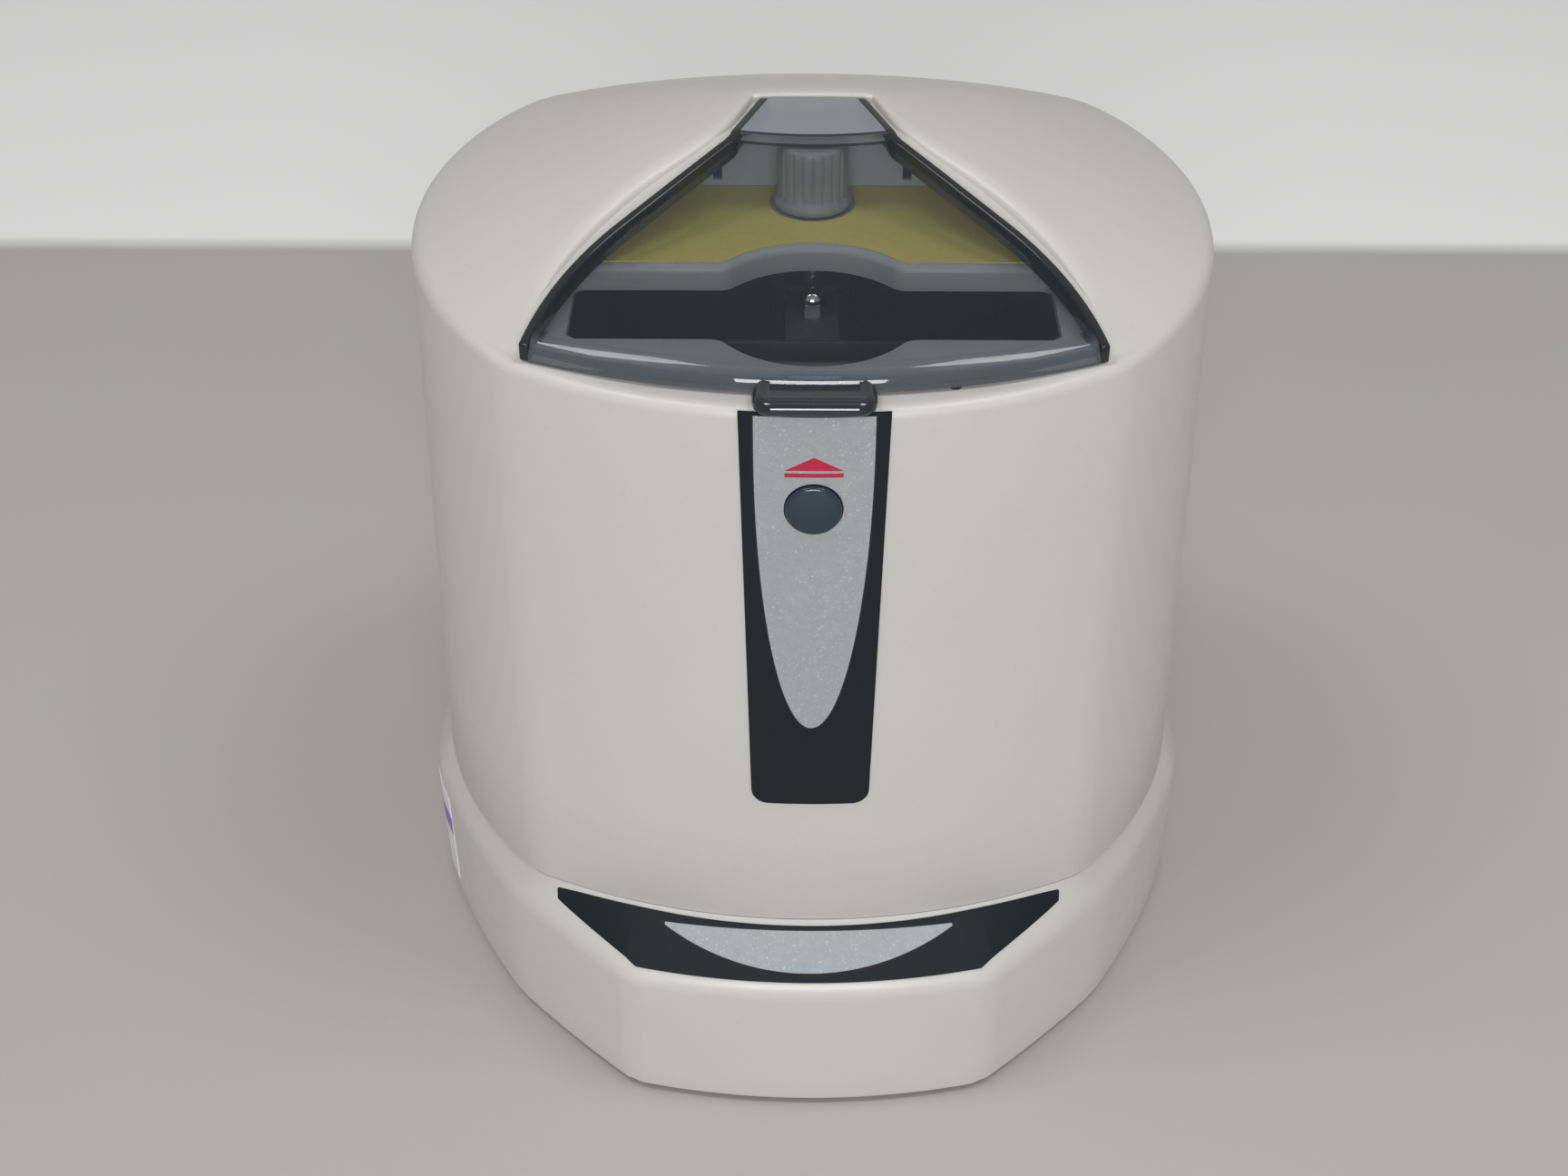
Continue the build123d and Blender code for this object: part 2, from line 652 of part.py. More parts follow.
# ---------------------------------------------------------------- loading deck
def deck_plan():
    """Plan of the deck: a disc over the rotor chamber joined to the wide front deck."""
    half = [(70.0, 0.0), (74.0, -38.0), (76.0, -62.0), (77.0, -72.0), (73.6, -74.0), (77.0, -85.0)]
    half.append((77.4, -100.0))
    front = polygon(*mirrored(half))
    disc = Pos(0, ROTOR_Y, 0) * Circle(BOWL_R_OUT)
    front_disc = Pos(0, LID_FRONT_Y + LID_FRONT_R, 0) * Circle(LID_FRONT_R - 4.4)
    housing = housing_outline(EDGE_Z, WALL + 0.6)
    return (front + disc) & front_disc & housing


def opening_plan(grow=0.0):
    """Plan of the loading slot joined to the round finger notch, moved outwards by `grow`."""
    size = (2 * (SLOT_HALF_X + grow), SLOT_Y[1] - SLOT_Y[0] + 2 * grow)
    slot = Pos(0, sum(SLOT_Y) / 2, 0) * Rectangle(*size)
    face = slot + Pos(0, NOTCH_CENTRE_Y, 0) * Circle(NOTCH_R + grow)
    face = fillet([corner for corner in face.vertices() if abs(corner.X) < NOTCH_R], NOTCH_BLEND_R)
    return fillet([corner for corner in face.vertices() if abs(corner.X) > SLOT_HALF_X - 1], SLOT_CORNER_R)


def platform():
    """The raised part of the deck behind the opening, rounded where it meets it."""
    half = [(74.0, 8.5), (74.0, SLOT_Y[1])]
    plan = (polygon(*mirrored(half)) - opening_plan()) & deck_plan()
    block = prism(plan, DECK_FRONT_Z, PLATFORM_Z)
    rim = [edge for edge in block.edges()
           if edge.center().Z > PLATFORM_Z - 0.1 and edge.center().Y < -25 and abs(edge.center().X) < 72]
    return fillet(rim, PLATFORM_ROUND)


def deck_tray():
    floor = prism(deck_plan(), DECK_FRONT_Z - DECK_FLOOR, DECK_FRONT_Z)
    wall_half = [(15.0, 282.0), (15.0, 278.4), (40.0, 278.4), (68.0, 271.4), (68.0, PLATFORM_Z)]
    wall = front_prism(polygon(*mirrored(wall_half)), WALL_FACE_Y, WALL_FACE_Y + 2.5)
    wall = wall + box((-68.0, 68.0), (WALL_FACE_Y, WALL_FACE_Y + 2.5), (DECK_FRONT_Z, PLATFORM_Z))
    for x in (-29.0, 29.0):
        wall = wall - box((x - 1.4, x + 1.4), (0.0, 20.0), (263.0, 275.0))
    ring = Pos(0, ROTOR_Y, 0) * (Circle(BOWL_R_OUT) - Circle(BOWL_R_IN))
    skirt = prism(ring, BOWL_TOP_Z, DECK_FRONT_Z - DECK_FLOOR)
    skirt = skirt - box((-60, 60), (-120, -60), (CUT_LOW, PLATFORM_Z))
    tray = floor - above_deck(opening_plan()) + platform() + wall + skirt
    outside = Rectangle(400.0, 400.0) - lid_footprint(OPENING_GAP / 2, LIP_THICK, OPENING_REAR_Y)
    near_ledge = above_deck(ledge_footprint(4.0)) - under_lid(-LEDGE_DEPTH - 0.6)
    tray = tray - (above_deck(outside) & near_ledge)
    tray = tray - box((-9.0, 9.0), (-105.0, -96.5), (CUT_LOW, PLATFORM_Z))
    tray = tray - rod(PEG_X, PEG_HOLE_Y, (CUT_LOW, PLATFORM_Z), PEG_HOLE_R + 1)
    return tray - rod(0, ROTOR_Y, (CUT_LOW, PLATFORM_Z + 1), BUSH_R)


def deck_label():
    low = SLOT_Y[1] + LABEL_MARGIN
    face = polygon((65.0, 7.0), (65.0, low), (-65.0, low), (-65.0, 7.0))
    face = fillet([corner for corner in face.vertices() if corner.Y < 0], 4.0)
    face = face - (opening_plan(LABEL_MARGIN) & (Pos(0, NOTCH_CENTRE_Y, 0) * Rectangle(90.0, 90.0)))
    face = face - Pos(0, ROTOR_Y, 0) * Circle(KNOB_R + 2.4)
    return prism(face, PLATFORM_Z, PLATFORM_Z + 0.4)


def knob_bush():
    under = DECK_FRONT_Z - DECK_FLOOR
    outer = rod(0, ROTOR_Y, (under, PLATFORM_Z), BUSH_R)
    flange = rod(0, ROTOR_Y, (under - 1.5, under), BUSH_R + 2)
    return outer + flange - rod(0, ROTOR_Y, (CUT_LOW, CUT_TOP), SHAFT_R + RUN_CLEARANCE)


# ---------------------------------------------------------------- rotor
def rotor_shaft():
    shaft = rod(0, ROTOR_Y, (78.0, 273.0), SHAFT_R)
    return chamfer(shaft.edges().group_by(Axis.Z)[-1], 0.6)


def hand_knob():
    knob = rod(0, ROTOR_Y, (KNOB_Z, KNOB_TOP_Z), KNOB_R)
    knob = fillet(knob.edges().group_by(Axis.Z)[-1], 1.2)
    flare = rod(0, ROTOR_Y, (KNOB_Z, KNOB_Z + 2.4), KNOB_R + 1.3)
    ribs = 20
    for index in range(ribs):
        angle = 360.0 * index / ribs
        groove = rod(KNOB_R + 0.35, 0, (KNOB_Z + 3.4, KNOB_TOP_Z + 1), 0.8)
        knob = knob - Pos(0, ROTOR_Y, 0) * Rot(0, 0, angle) * groove
    return knob + flare - rod(0, ROTOR_Y, (KNOB_Z - 1, 273.1), SHAFT_R + PRESS_FIT)


def rotor_plate():
    outline = Pos(0, ROTOR_Y, 0) * RectangleRounded(120.0, 136.0, 12.0)
    waist = [Pos(54.0 * side, ROTOR_Y, 0) * Circle(26.0) for side in (-1, 1)]
    face = outline - waist[0] - waist[1] - Pos(0, ROTOR_Y, 0) * Circle(SHAFT_R + PRESS_FIT)
    return prism(face, ROTOR_PLATE_Z, CARRIER_Z)


def rotor_hub():
    hub = rod(0, ROTOR_Y, (CARRIER_Z, BAR_Z[0]), 12.0) + rod(0, ROTOR_Y, (CARRIER_Z, 162.0), 18.0)
    return hub - rod(0, ROTOR_Y, (ROTOR_PLATE_Z, BAR_Z[1]), SHAFT_R + PRESS_FIT)


def carrier_bar():
    bar = box((-8.0, 8.0), (ROTOR_Y - CARRIER_R_IN, ROTOR_Y + CARRIER_R_IN), BAR_Z)
    disc = rod(0, ROTOR_Y, (BAR_Z[0], BAR_Z[1] + 2), 12.4)
    return bar + disc - rod(0, ROTOR_Y, (ROTOR_PLATE_Z, CUT_LOW), SHAFT_R + PRESS_FIT)


def cap_nuts():
    solids = []
    for side in (-1, 1):
        y = ROTOR_Y + 24.0 * side
        top = BAR_Z[1] + 4.2
        hexagon = Pos(0, y, BAR_Z[1]) * extrude(RegularPolygon(4.6, 6), amount=top - BAR_Z[1])
        dome = (Pos(0, y, top - 0.2) * Sphere(4.0)) & rod(0, y, (top, top + 5), 5.0)
        solids.append(hexagon + dome)
    return Compound(solids)


def carrier(side):
    """A plate carrier: an open-topped box on edge, cut away in front and behind for fingers."""
    width, depth, height = CARRIER_SIZE
    middle = ROTOR_Y + side * (CARRIER_R_IN + depth / 2)
    low, high = middle - depth / 2, middle + depth / 2
    body = box((-width / 2, width / 2), (low, high), (CARRIER_Z, CARRIER_Z + height))
    body = fillet(upright(body.edges()), 2.0)
    inside = (-width / 2 + CARRIER_WALL, width / 2 - CARRIER_WALL)
    pocket = box(inside, (low + CARRIER_WALL, high - CARRIER_WALL), (CARRIER_Z + CARRIER_WALL, CUT_TOP))
    thumb = Pos(0, CARRIER_Z + height, 0) * RectangleRounded(58.0, 76.0, 10.0)
    outward = (high - 5.0, high + 5.0) if side > 0 else (low - 5.0, low + 5.0)
    return body - pocket - front_prism(thumb, *outward)


# ---------------------------------------------------------------- rotor chamber and motor
def rotor_bowl():
    bowl = rod(0, ROTOR_Y, (BOWL_FLOOR_Z, BOWL_TOP_Z), BOWL_R_OUT)
    bowl = bowl - rod(0, ROTOR_Y, (BOWL_FLOOR_Z + 2.5, CUT_TOP), BOWL_R_IN)
    return bowl - rod(0, ROTOR_Y, (MOTOR_PLATE_TOP, ROTOR_PLATE_Z), SHAFT_HOLE_R)


def support_pillar(place):
    x, y = place[0], place[1] + ROTOR_Y
    pillar = rod(x, y, (PLATE_Z[1], BOWL_FLOOR_Z), 5.0)
    flare = rod(x, y, (PLATE_Z[1], 12.0), 8.0)
    return pillar + flare


def motor_plate():
    outline = Pos(0, ROTOR_Y, 0) * RectangleRounded(104.0, 104.0, 10.0)
    plate = prism(outline - Pos(0, ROTOR_Y, 0) * Circle(SHAFT_HOLE_R), MOTOR_Z[2], MOTOR_PLATE_TOP)
    for place in square_places(MOTOR_BOLT_REACH):
        plate = plate - rod(*place, (MOTOR_Z[2], MOTOR_PLATE_TOP), BOLT_HOLE_R)
    return plate


def square_places(reach):
    """The four corners of a square about the rotor's axis."""
    return [(reach * sx, ROTOR_Y + reach * sy) for sx in (-1, 1) for sy in (-1, 1)]


def motor_can():
    can = rod(0, ROTOR_Y, MOTOR_Z[1:], MOTOR_R)
    can = chamfer(can.edges().group_by(Axis.Z)[0], 1.5)
    for place in square_places(MOTOR_BOLT_REACH):
        can = can - rod(*place, (MOTOR_Z[2] - 10, MOTOR_Z[2]), BOLT_HOLE_R)
    return can - rod(0, ROTOR_Y, MOTOR_Z[1:], SHAFT_R + RUN_CLEARANCE)


def motor_end_cap():
    cap = rod(0, ROTOR_Y, MOTOR_Z[:2], MOTOR_R - 3)
    cap = fillet(cap.edges().group_by(Axis.Z)[0], 3.0)
    return cap - rod(0, ROTOR_Y, (MOTOR_Z[0] + 2, MOTOR_Z[1]), SHAFT_R + RUN_CLEARANCE)


def motor_dampers():
    span = (MOTOR_PLATE_TOP, BOWL_FLOOR_Z)
    return Compound([rod(*place, span, 6.0) for place in square_places(DAMPER_REACH)])


def motor_screws():
    solids = []
    for place in square_places(MOTOR_BOLT_REACH):
        head = rod(*place, (MOTOR_PLATE_TOP, MOTOR_PLATE_TOP + 1.8), 3.0)
        solids.append(head + rod(*place, (MOTOR_Z[2] - 9, MOTOR_PLATE_TOP), BOLT_HOLE_R - 0.02))
    return Compound(solids)


# ---------------------------------------------------------------- lid button and latch
def open_button():
    front = -113.9
    cap = rod_y(0, (front, -109.0), BUTTON_Z, BUTTON_R)
    dome_r = 30.0
    spring_y = (-111.6, -108.0)
    dome = Pos(0, front + dome_r, BUTTON_Z) * Sphere(dome_r)
    cap = fillet(cap.edges().group_by(Axis.Y)[0], 0.8) & dome
    spring_pocket = rod_y(0, spring_y, BUTTON_Z, 6.2) - rod_y(0, spring_y, BUTTON_Z, 3.6)
    stem = rod_y(0, (-110.0, -105.25), BUTTON_Z, STEM_R)
    return cap - spring_pocket + stem


def button_spring():
    y = (-111.5, PAD_Y - 0.1)
    return rod_y(0, y, BUTTON_Z, 5.6) - rod_y(0, y, BUTTON_Z, 4.2)


def button_guide():
    plate = box((-14.0, 14.0), (PAD_Y, PAD_Y + GUIDE_THICK), (213.0, 231.8))
    return plate - rod_y(0, (PAD_Y, PAD_Y + GUIDE_THICK), BUTTON_Z, STEM_R + RUN_CLEARANCE)


def button_clip():
    y = (PAD_Y + GUIDE_THICK + 0.1, PAD_Y + GUIDE_THICK + 0.7)
    return rod_y(0, y, BUTTON_Z, 4.6) - rod_y(0, y, BUTTON_Z, STEM_R)


def latch_bracket():
    part = box((-14.0, 14.0), (PAD_Y, PAD_Y + GUIDE_THICK), (232.0, 241.0))
    ear_r = 2.0
    for side in (-1, 1):
        x = spread(side, 7.0, 8.5)
        ear = box(x, (PAD_Y, LATCH_Y), (LATCH_Z - ear_r, LATCH_Z + ear_r)) + rod_x(x, LATCH_Y, LATCH_Z, ear_r)
        part = part + ear
    return part - rod_x((-9.0, 9.0), LATCH_Y, LATCH_Z, LATCH_PIN_R)


def latch_pin():
    return rod_x((-9.2, 9.2), LATCH_Y, LATCH_Z, LATCH_PIN_R)


def latch_hook():
    arm = box((-5.0, 5.0), (-104.9, -103.7), (219.0, 249.4))
    boss = rod_x((-6.8, 6.8), LATCH_Y, LATCH_Z, 1.6)
    nose = side_prism([(-104.9, 247.4), (-100.95, 247.9), (-100.95, 248.5), (-101.8, 249.4), (-104.9, 249.4)],
                      -4.0, 4.0)
    return arm + boss + nose - rod_x((-9.0, 9.0), LATCH_Y, LATCH_Z, LATCH_PIN_R + RUN_CLEARANCE)


def lid_switch():
    body = Box(18.0, 5.4, 9.8, align=(Align.CENTER, Align.CENTER, Align.MAX))
    body = Pos(PEG_X + 0.3, -99.5, RIM_Z - WALL) * Rot(0, 0, 13.5) * body
    return body + rod(PEG_X, PEG_HOLE_Y - 0.3, (RIM_Z - WALL - 1, 250.2), 1.1)


# ---------------------------------------------------------------- electrics
def board_hole_places():
    x, y = BOARD_CENTRE
    reach_x, reach_y = BOARD_HOLE_REACH
    return [(x + reach_x * sx, y + reach_y * sy) for sx in (-1, 1) for sy in (-1, 1)]


def circuit_board():
    x, y = BOARD_CENTRE
    board = Pos(x, y, BOARD_Z) * Box(*BOARD_SIZE, align=(Align.CENTER, Align.CENTER, Align.MIN))
    for place in board_hole_places():
        board = board - rod(*place, (0.0, 30.0), 1.5)
    return board


def board_standoffs():
    solids = []
    for place in board_hole_places():
        solids.append(rod(*place, (PLATE_Z[1], BOARD_Z), 3.0) + rod(*place, (BOARD_Z, BOARD_Z + 3), 1.48))
    return Compound(solids)


def board_parts():
    """Connectors, chips and capacitors standing on the circuit board."""
    top = BOARD_Z + BOARD_SIZE[2]
    x, y = BOARD_CENTRE
    blocks = [(-24, 8, 12, 8, 9), (-24, -8, 12, 8, 9), (2, 0, 14, 14, 2.2), (22, 10, 10, 5, 7)]
    blocks.append((22, -2, 9, 9, 1.6))
    solids = []
    for dx, dy, width, depth, height in blocks:
        block = Box(width, depth, height, align=(Align.CENTER, Align.CENTER, Align.MIN))
        solids.append(Pos(x + dx, y + dy, top) * block)
    for dx, dy in ((12.0, -13.0), (0.0, -14.0)):
        solids.append(rod(x + dx, y + dy, (top, top + 12.0), 4.0))
    return Compound(solids)


def rear_panel():
    width, depth, height = PANEL_SIZE
    z = (PANEL_Z - height / 2, PANEL_Z + height / 2)
    panel = box((-width / 2, width / 2), (PANEL_Y, PANEL_Y + depth), z)
    panel = fillet(panel.edges().filter_by(Axis.Y), 2.0)
    return panel - panel_block(INLET_X, INLET_BODY, INLET_BODY) - panel_block(ROCKER_X, *SWITCH_BODY)


def power_inlet():
    """A round low-voltage socket with a centre pin."""
    face_y = PANEL_Y + PANEL_SIZE[1]
    flange = panel_block(INLET_X, INLET_BODY + 1.5, INLET_BODY + 1.5, (face_y, face_y + 1.0))
    body = panel_block(INLET_X, INLET_BODY, INLET_BODY, (88.0, face_y))
    collar = rod_y(INLET_X, (face_y, face_y + 2.0), PANEL_Z, 5.4)
    socket = rod_y(INLET_X, (92.0, 110.0), PANEL_Z, 3.3)
    pin = rod_y(INLET_X, (91.0, face_y), PANEL_Z, 1.0)
    return flange + body + collar - socket + pin


def power_switch():
    """The frame that holds the rocker."""
    face_y = PANEL_Y + PANEL_SIZE[1]
    frame = panel_block(ROCKER_X, SWITCH_BODY[0] + 2, SWITCH_BODY[1] + 2, (face_y, face_y + 1.2))
    body = panel_block(ROCKER_X, *SWITCH_BODY, (86.0, face_y))
    cavity = panel_block(ROCKER_X, 5.6, 9.8, (88.0, 110.0))
    axle = rod_x((ROCKER_X - 6.6, ROCKER_X + 6.6), ROCKER_PIVOT_Y, PANEL_Z, ROCKER_AXLE_R)
    return frame + body - cavity + axle


def power_rocker():
    """A rocker with two flat halves, resting tilted; turning it 14 degrees puts the other half in."""
    profile = [(96.0, PANEL_Z - 4.0), (96.0, PANEL_Z + 4.0), (100.0, 36.4), (107.2, 35.6), (105.2, 28.0),
               (104.4, 20.0), (100.0, 19.6)]
    body = side_prism(profile, ROCKER_X - 5.3, ROCKER_X + 5.3)
    body = body & rod_x((ROCKER_X - 6, ROCKER_X + 6), ROCKER_PIVOT_Y, PANEL_Z, 11.4)
    return body - rod_x((ROCKER_X - 6, ROCKER_X + 6), ROCKER_PIVOT_Y, PANEL_Z, ROCKER_AXLE_R + RUN_CLEARANCE)


# ---------------------------------------------------------------- nodes
def make_nodes():
    nodes = {
        "upper_housing": upper_housing,
        "base_shell": base_shell,
        "bottom_plate": bottom_plate,
        "plate_screws": plate_screws,
        "front_label": front_label,
        "front_label_inlay": front_label_inlay,
        "base_label": base_label,
        "base_label_inlay": base_label_inlay,
        "side_label": side_label,
        "lid_window": lid_window,
        "lid_side_trim_left": lambda: lid_side_trim(-1),
        "lid_side_trim_right": lambda: lid_side_trim(1),
        "finger_tab": finger_tab,
        "lid_strike": lid_strike,
        "switch_peg": switch_peg,
        "hinge_lugs": hinge_lugs,
        "hinge_bracket": hinge_bracket,
        "hinge_pin": hinge_pin,
        "hinge_washers": hinge_washers,
        "bracket_screws": bracket_screws,
        "deck_tray": deck_tray,
        "deck_label": deck_label,
        "knob_bush": knob_bush,
        "rotor_shaft": rotor_shaft,
        "hand_knob": hand_knob,
        "rotor_plate": rotor_plate,
        "rotor_hub": rotor_hub,
        "carrier_bar": carrier_bar,
        "cap_nuts": cap_nuts,
        "carrier_front": lambda: carrier(-1),
        "carrier_rear": lambda: carrier(1),
        "rotor_bowl": rotor_bowl,
        "motor_plate": motor_plate,
        "motor_can": motor_can,
        "motor_end_cap": motor_end_cap,
        "motor_dampers": motor_dampers,
        "motor_screws": motor_screws,
        "open_button": open_button,
        "button_spring": button_spring,
        "button_guide": button_guide,
        "button_clip": button_clip,
        "latch_bracket": latch_bracket,
        "latch_pin": latch_pin,
        "latch_hook": latch_hook,
        "lid_switch": lid_switch,
        "circuit_board": circuit_board,
        "board_standoffs": board_standoffs,
        "board_parts": board_parts,
        "rear_panel": rear_panel,
        "power_inlet": power_inlet,
        "power_switch": power_switch,
        "power_rocker": power_rocker,
    }
    for index, place in enumerate(FOOT_PLACES):
        nodes[f"rubber_foot_{index + 1}"] = lambda place=place: rubber_foot(place)
    for index, place in enumerate(PILLAR_PLACES):
        nodes[f"support_pillar_{index + 1}"] = lambda place=place: support_pillar(place)
    return nodes


def main():
    os.makedirs("parts", exist_ok=True)
    for name, build in make_nodes().items():
        solid = Pos(0, ROW_SHIFT_Y, 0) * build()
        export_step(solid, f"parts/{name}.step")
        size = solid.bounding_box().size
        print(f"{name:22s} {size.X:7.1f} {size.Y:7.1f} {size.Z:7.1f}  {solid.volume / 1000:8.2f} cm3")


if __name__ == "__main__":
    main()
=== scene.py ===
"""A bench-top microplate centrifuge, dressed piece by piece around its construction frame.

Sizes are in millimetres about the centre of the round casing; place() turns them into the
frame's metres.
"""

import logging
import math
from dataclasses import dataclass
from enum import Enum
from typing import Callable, Iterable, Optional, Sequence

import bmesh
import bpy
from mathutils import Matrix, Vector


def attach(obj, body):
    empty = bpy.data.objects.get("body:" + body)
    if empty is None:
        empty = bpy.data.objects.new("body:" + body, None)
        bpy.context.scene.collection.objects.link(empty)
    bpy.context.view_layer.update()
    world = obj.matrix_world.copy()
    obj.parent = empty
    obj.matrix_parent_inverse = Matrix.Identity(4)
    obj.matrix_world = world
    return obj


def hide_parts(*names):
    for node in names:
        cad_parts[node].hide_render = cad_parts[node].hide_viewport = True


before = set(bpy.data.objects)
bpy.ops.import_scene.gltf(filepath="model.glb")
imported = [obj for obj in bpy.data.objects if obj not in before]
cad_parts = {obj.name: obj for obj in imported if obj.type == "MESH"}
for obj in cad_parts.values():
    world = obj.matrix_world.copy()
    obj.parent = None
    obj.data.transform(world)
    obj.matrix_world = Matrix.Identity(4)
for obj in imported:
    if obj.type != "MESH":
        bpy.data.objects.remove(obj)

LOG = logging.getLogger("centrifuge")
MM = 0.001
SHIFT_Y = 11.5
BUTTON_Z = 222.4
BUTTON_HOLE = 8.2

Plan = tuple[float, float]
Point = tuple[float, float, float]
Box = tuple[Point, Point]
Colour = tuple[float, float, float]
Piece = bpy.types.Object
Socket = bpy.types.NodeSocket


# ---------- small mathematics
def place(point: Point) -> Vector:
    """Turns a point in millimetres about the casing's centre into the frame's metres."""
    return Vector((point[0] * MM, (point[1] + SHIFT_Y) * MM, point[2] * MM))


def lerp(low: float, high: float, share: float) -> float:
    """Mixes two values."""
    return low + (high - low) * share


def between_points(one: Sequence[float], two: Sequence[float], share: float) -> tuple[float, ...]:
    """Mixes two points."""
    return tuple(lerp(a, b, share) for a, b in zip(one, two))


def smooth_step(low: float, high: float, value: float) -> float:
    """Rises from 0 at low to 1 at high with level ends."""
    share = min(1.0, max(0.0, (value - low) / (high - low)))
    return share * share * (3.0 - 2.0 * share)


def circle_through(first: Plan, middle: Plan, last: Plan) -> tuple[Plan, float]:
    """Finds the centre and radius of the circle through three plan points."""
    (ax, ay), (bx, by), (cx, cy) = first, middle, last
    cross = 2.0 * (ax * (by - cy) + bx * (cy - ay) + cx * (ay - by))
    a2, b2, c2 = ax * ax + ay * ay, bx * bx + by * by, cx * cx + cy * cy
    x = (a2 * (by - cy) + b2 * (cy - ay) + c2 * (ay - by)) / cross
    y = (a2 * (cx - bx) + b2 * (ax - cx) + c2 * (bx - ax)) / cross
    return (x, y), math.hypot(ax - x, ay - y)


def arc(first: Plan, middle: Plan, last: Plan, count: int) -> list[Plan]:
    """Samples an arc through three points.

    Args:
        first: where the arc starts.
        middle: a point that it passes.
        last: where it ends, which isn't among the points returned.
        count: how many points to return.

    Returns:
        Evenly spaced plan points, from the first on.
    """
    (x, y), radius = circle_through(first, middle, last)
    start, mid, end = (math.atan2(p[1] - y, p[0] - x) for p in (first, middle, last))
    turn = (end - start) % (2 * math.pi)
    if (mid - start) % (2 * math.pi) > turn:
        turn -= 2 * math.pi
    angles = (start + turn * step / count for step in range(count))
    return [(x + radius * math.cos(angle), y + radius * math.sin(angle)) for angle in angles]


def spread_along(points: Sequence[Plan], count: int) -> list[Plan]:
    """Samples a polyline at evenly spaced places, without its last point."""
    lengths = [0.0]
    for one, two in zip(points, points[1:]):
        lengths.append(lengths[-1] + math.dist(one, two))
    result = []
    leg = 0
    for step in range(count):
        goal = lengths[-1] * step / count
        while lengths[leg + 1] < goal:
            leg += 1
        share = (goal - lengths[leg]) / (lengths[leg + 1] - lengths[leg])
        result.append(between_points(points[leg], points[leg + 1], share))
    return result


def spline(a: float, b: float, c: float, d: float, t: float) -> float:
    """A smooth curve's value between b, where t is 0, and c, where t is 1."""
    slope, bend, twist = c - a, 2 * a - 5 * b + 4 * c - d, 3 * b - a - 3 * c + d
    return 0.5 * (2 * b + slope * t + bend * t * t + twist * t ** 3)


def curve_through(points: Sequence[Plan], count: int) -> list[Plan]:
    """Samples a smooth curve through the given points, both ends included."""
    padded = [points[0], *points, points[-1]]
    result = []
    per_leg = max(2, count // (len(points) - 1))
    for leg in range(1, len(padded) - 2):
        near = padded[leg - 1:leg + 3]
        for step in range(per_leg):
            result.append(tuple(spline(*parts, step / per_leg) for parts in zip(*near)))
    return result + [points[-1]]


def outward(points: Sequence[Plan], distance: Sequence[float]) -> list[Plan]:
    """Moves each point of a counter-clockwise outline outwards by its own distance."""
    result = []
    total = len(points)
    for index, (x, y) in enumerate(points):
        before, after = points[index - 1], points[(index + 1) % total]
        run = math.hypot(after[0] - before[0], after[1] - before[1]) or 1.0
        normal = ((after[1] - before[1]) / run, -(after[0] - before[0]) / run)
        result.append((x + normal[0] * distance[index], y + normal[1] * distance[index]))
    return result


def mixed(one: Sequence[Plan], two: Sequence[Plan], share: float) -> list[Plan]:
    """Mixes two outlines point by point."""
    return [between_points(a, b, share) for a, b in zip(one, two)]


def arc_y(corner: Plan, middle_y: float, x: float) -> float:
    """The y, at x, of an arc through a corner, its mirror image and a point on the middle plane."""
    sag = corner[1] - middle_y
    bow = (corner[0] ** 2 + sag ** 2) / (2 * sag)
    return middle_y + bow - math.sqrt(bow ** 2 - x ** 2)


def raised(points: Sequence[Plan], height: Callable[[float, float], float]) -> list[Point]:
    """Gives each plan point its height."""
    return [(x, y, height(x, y)) for x, y in points]


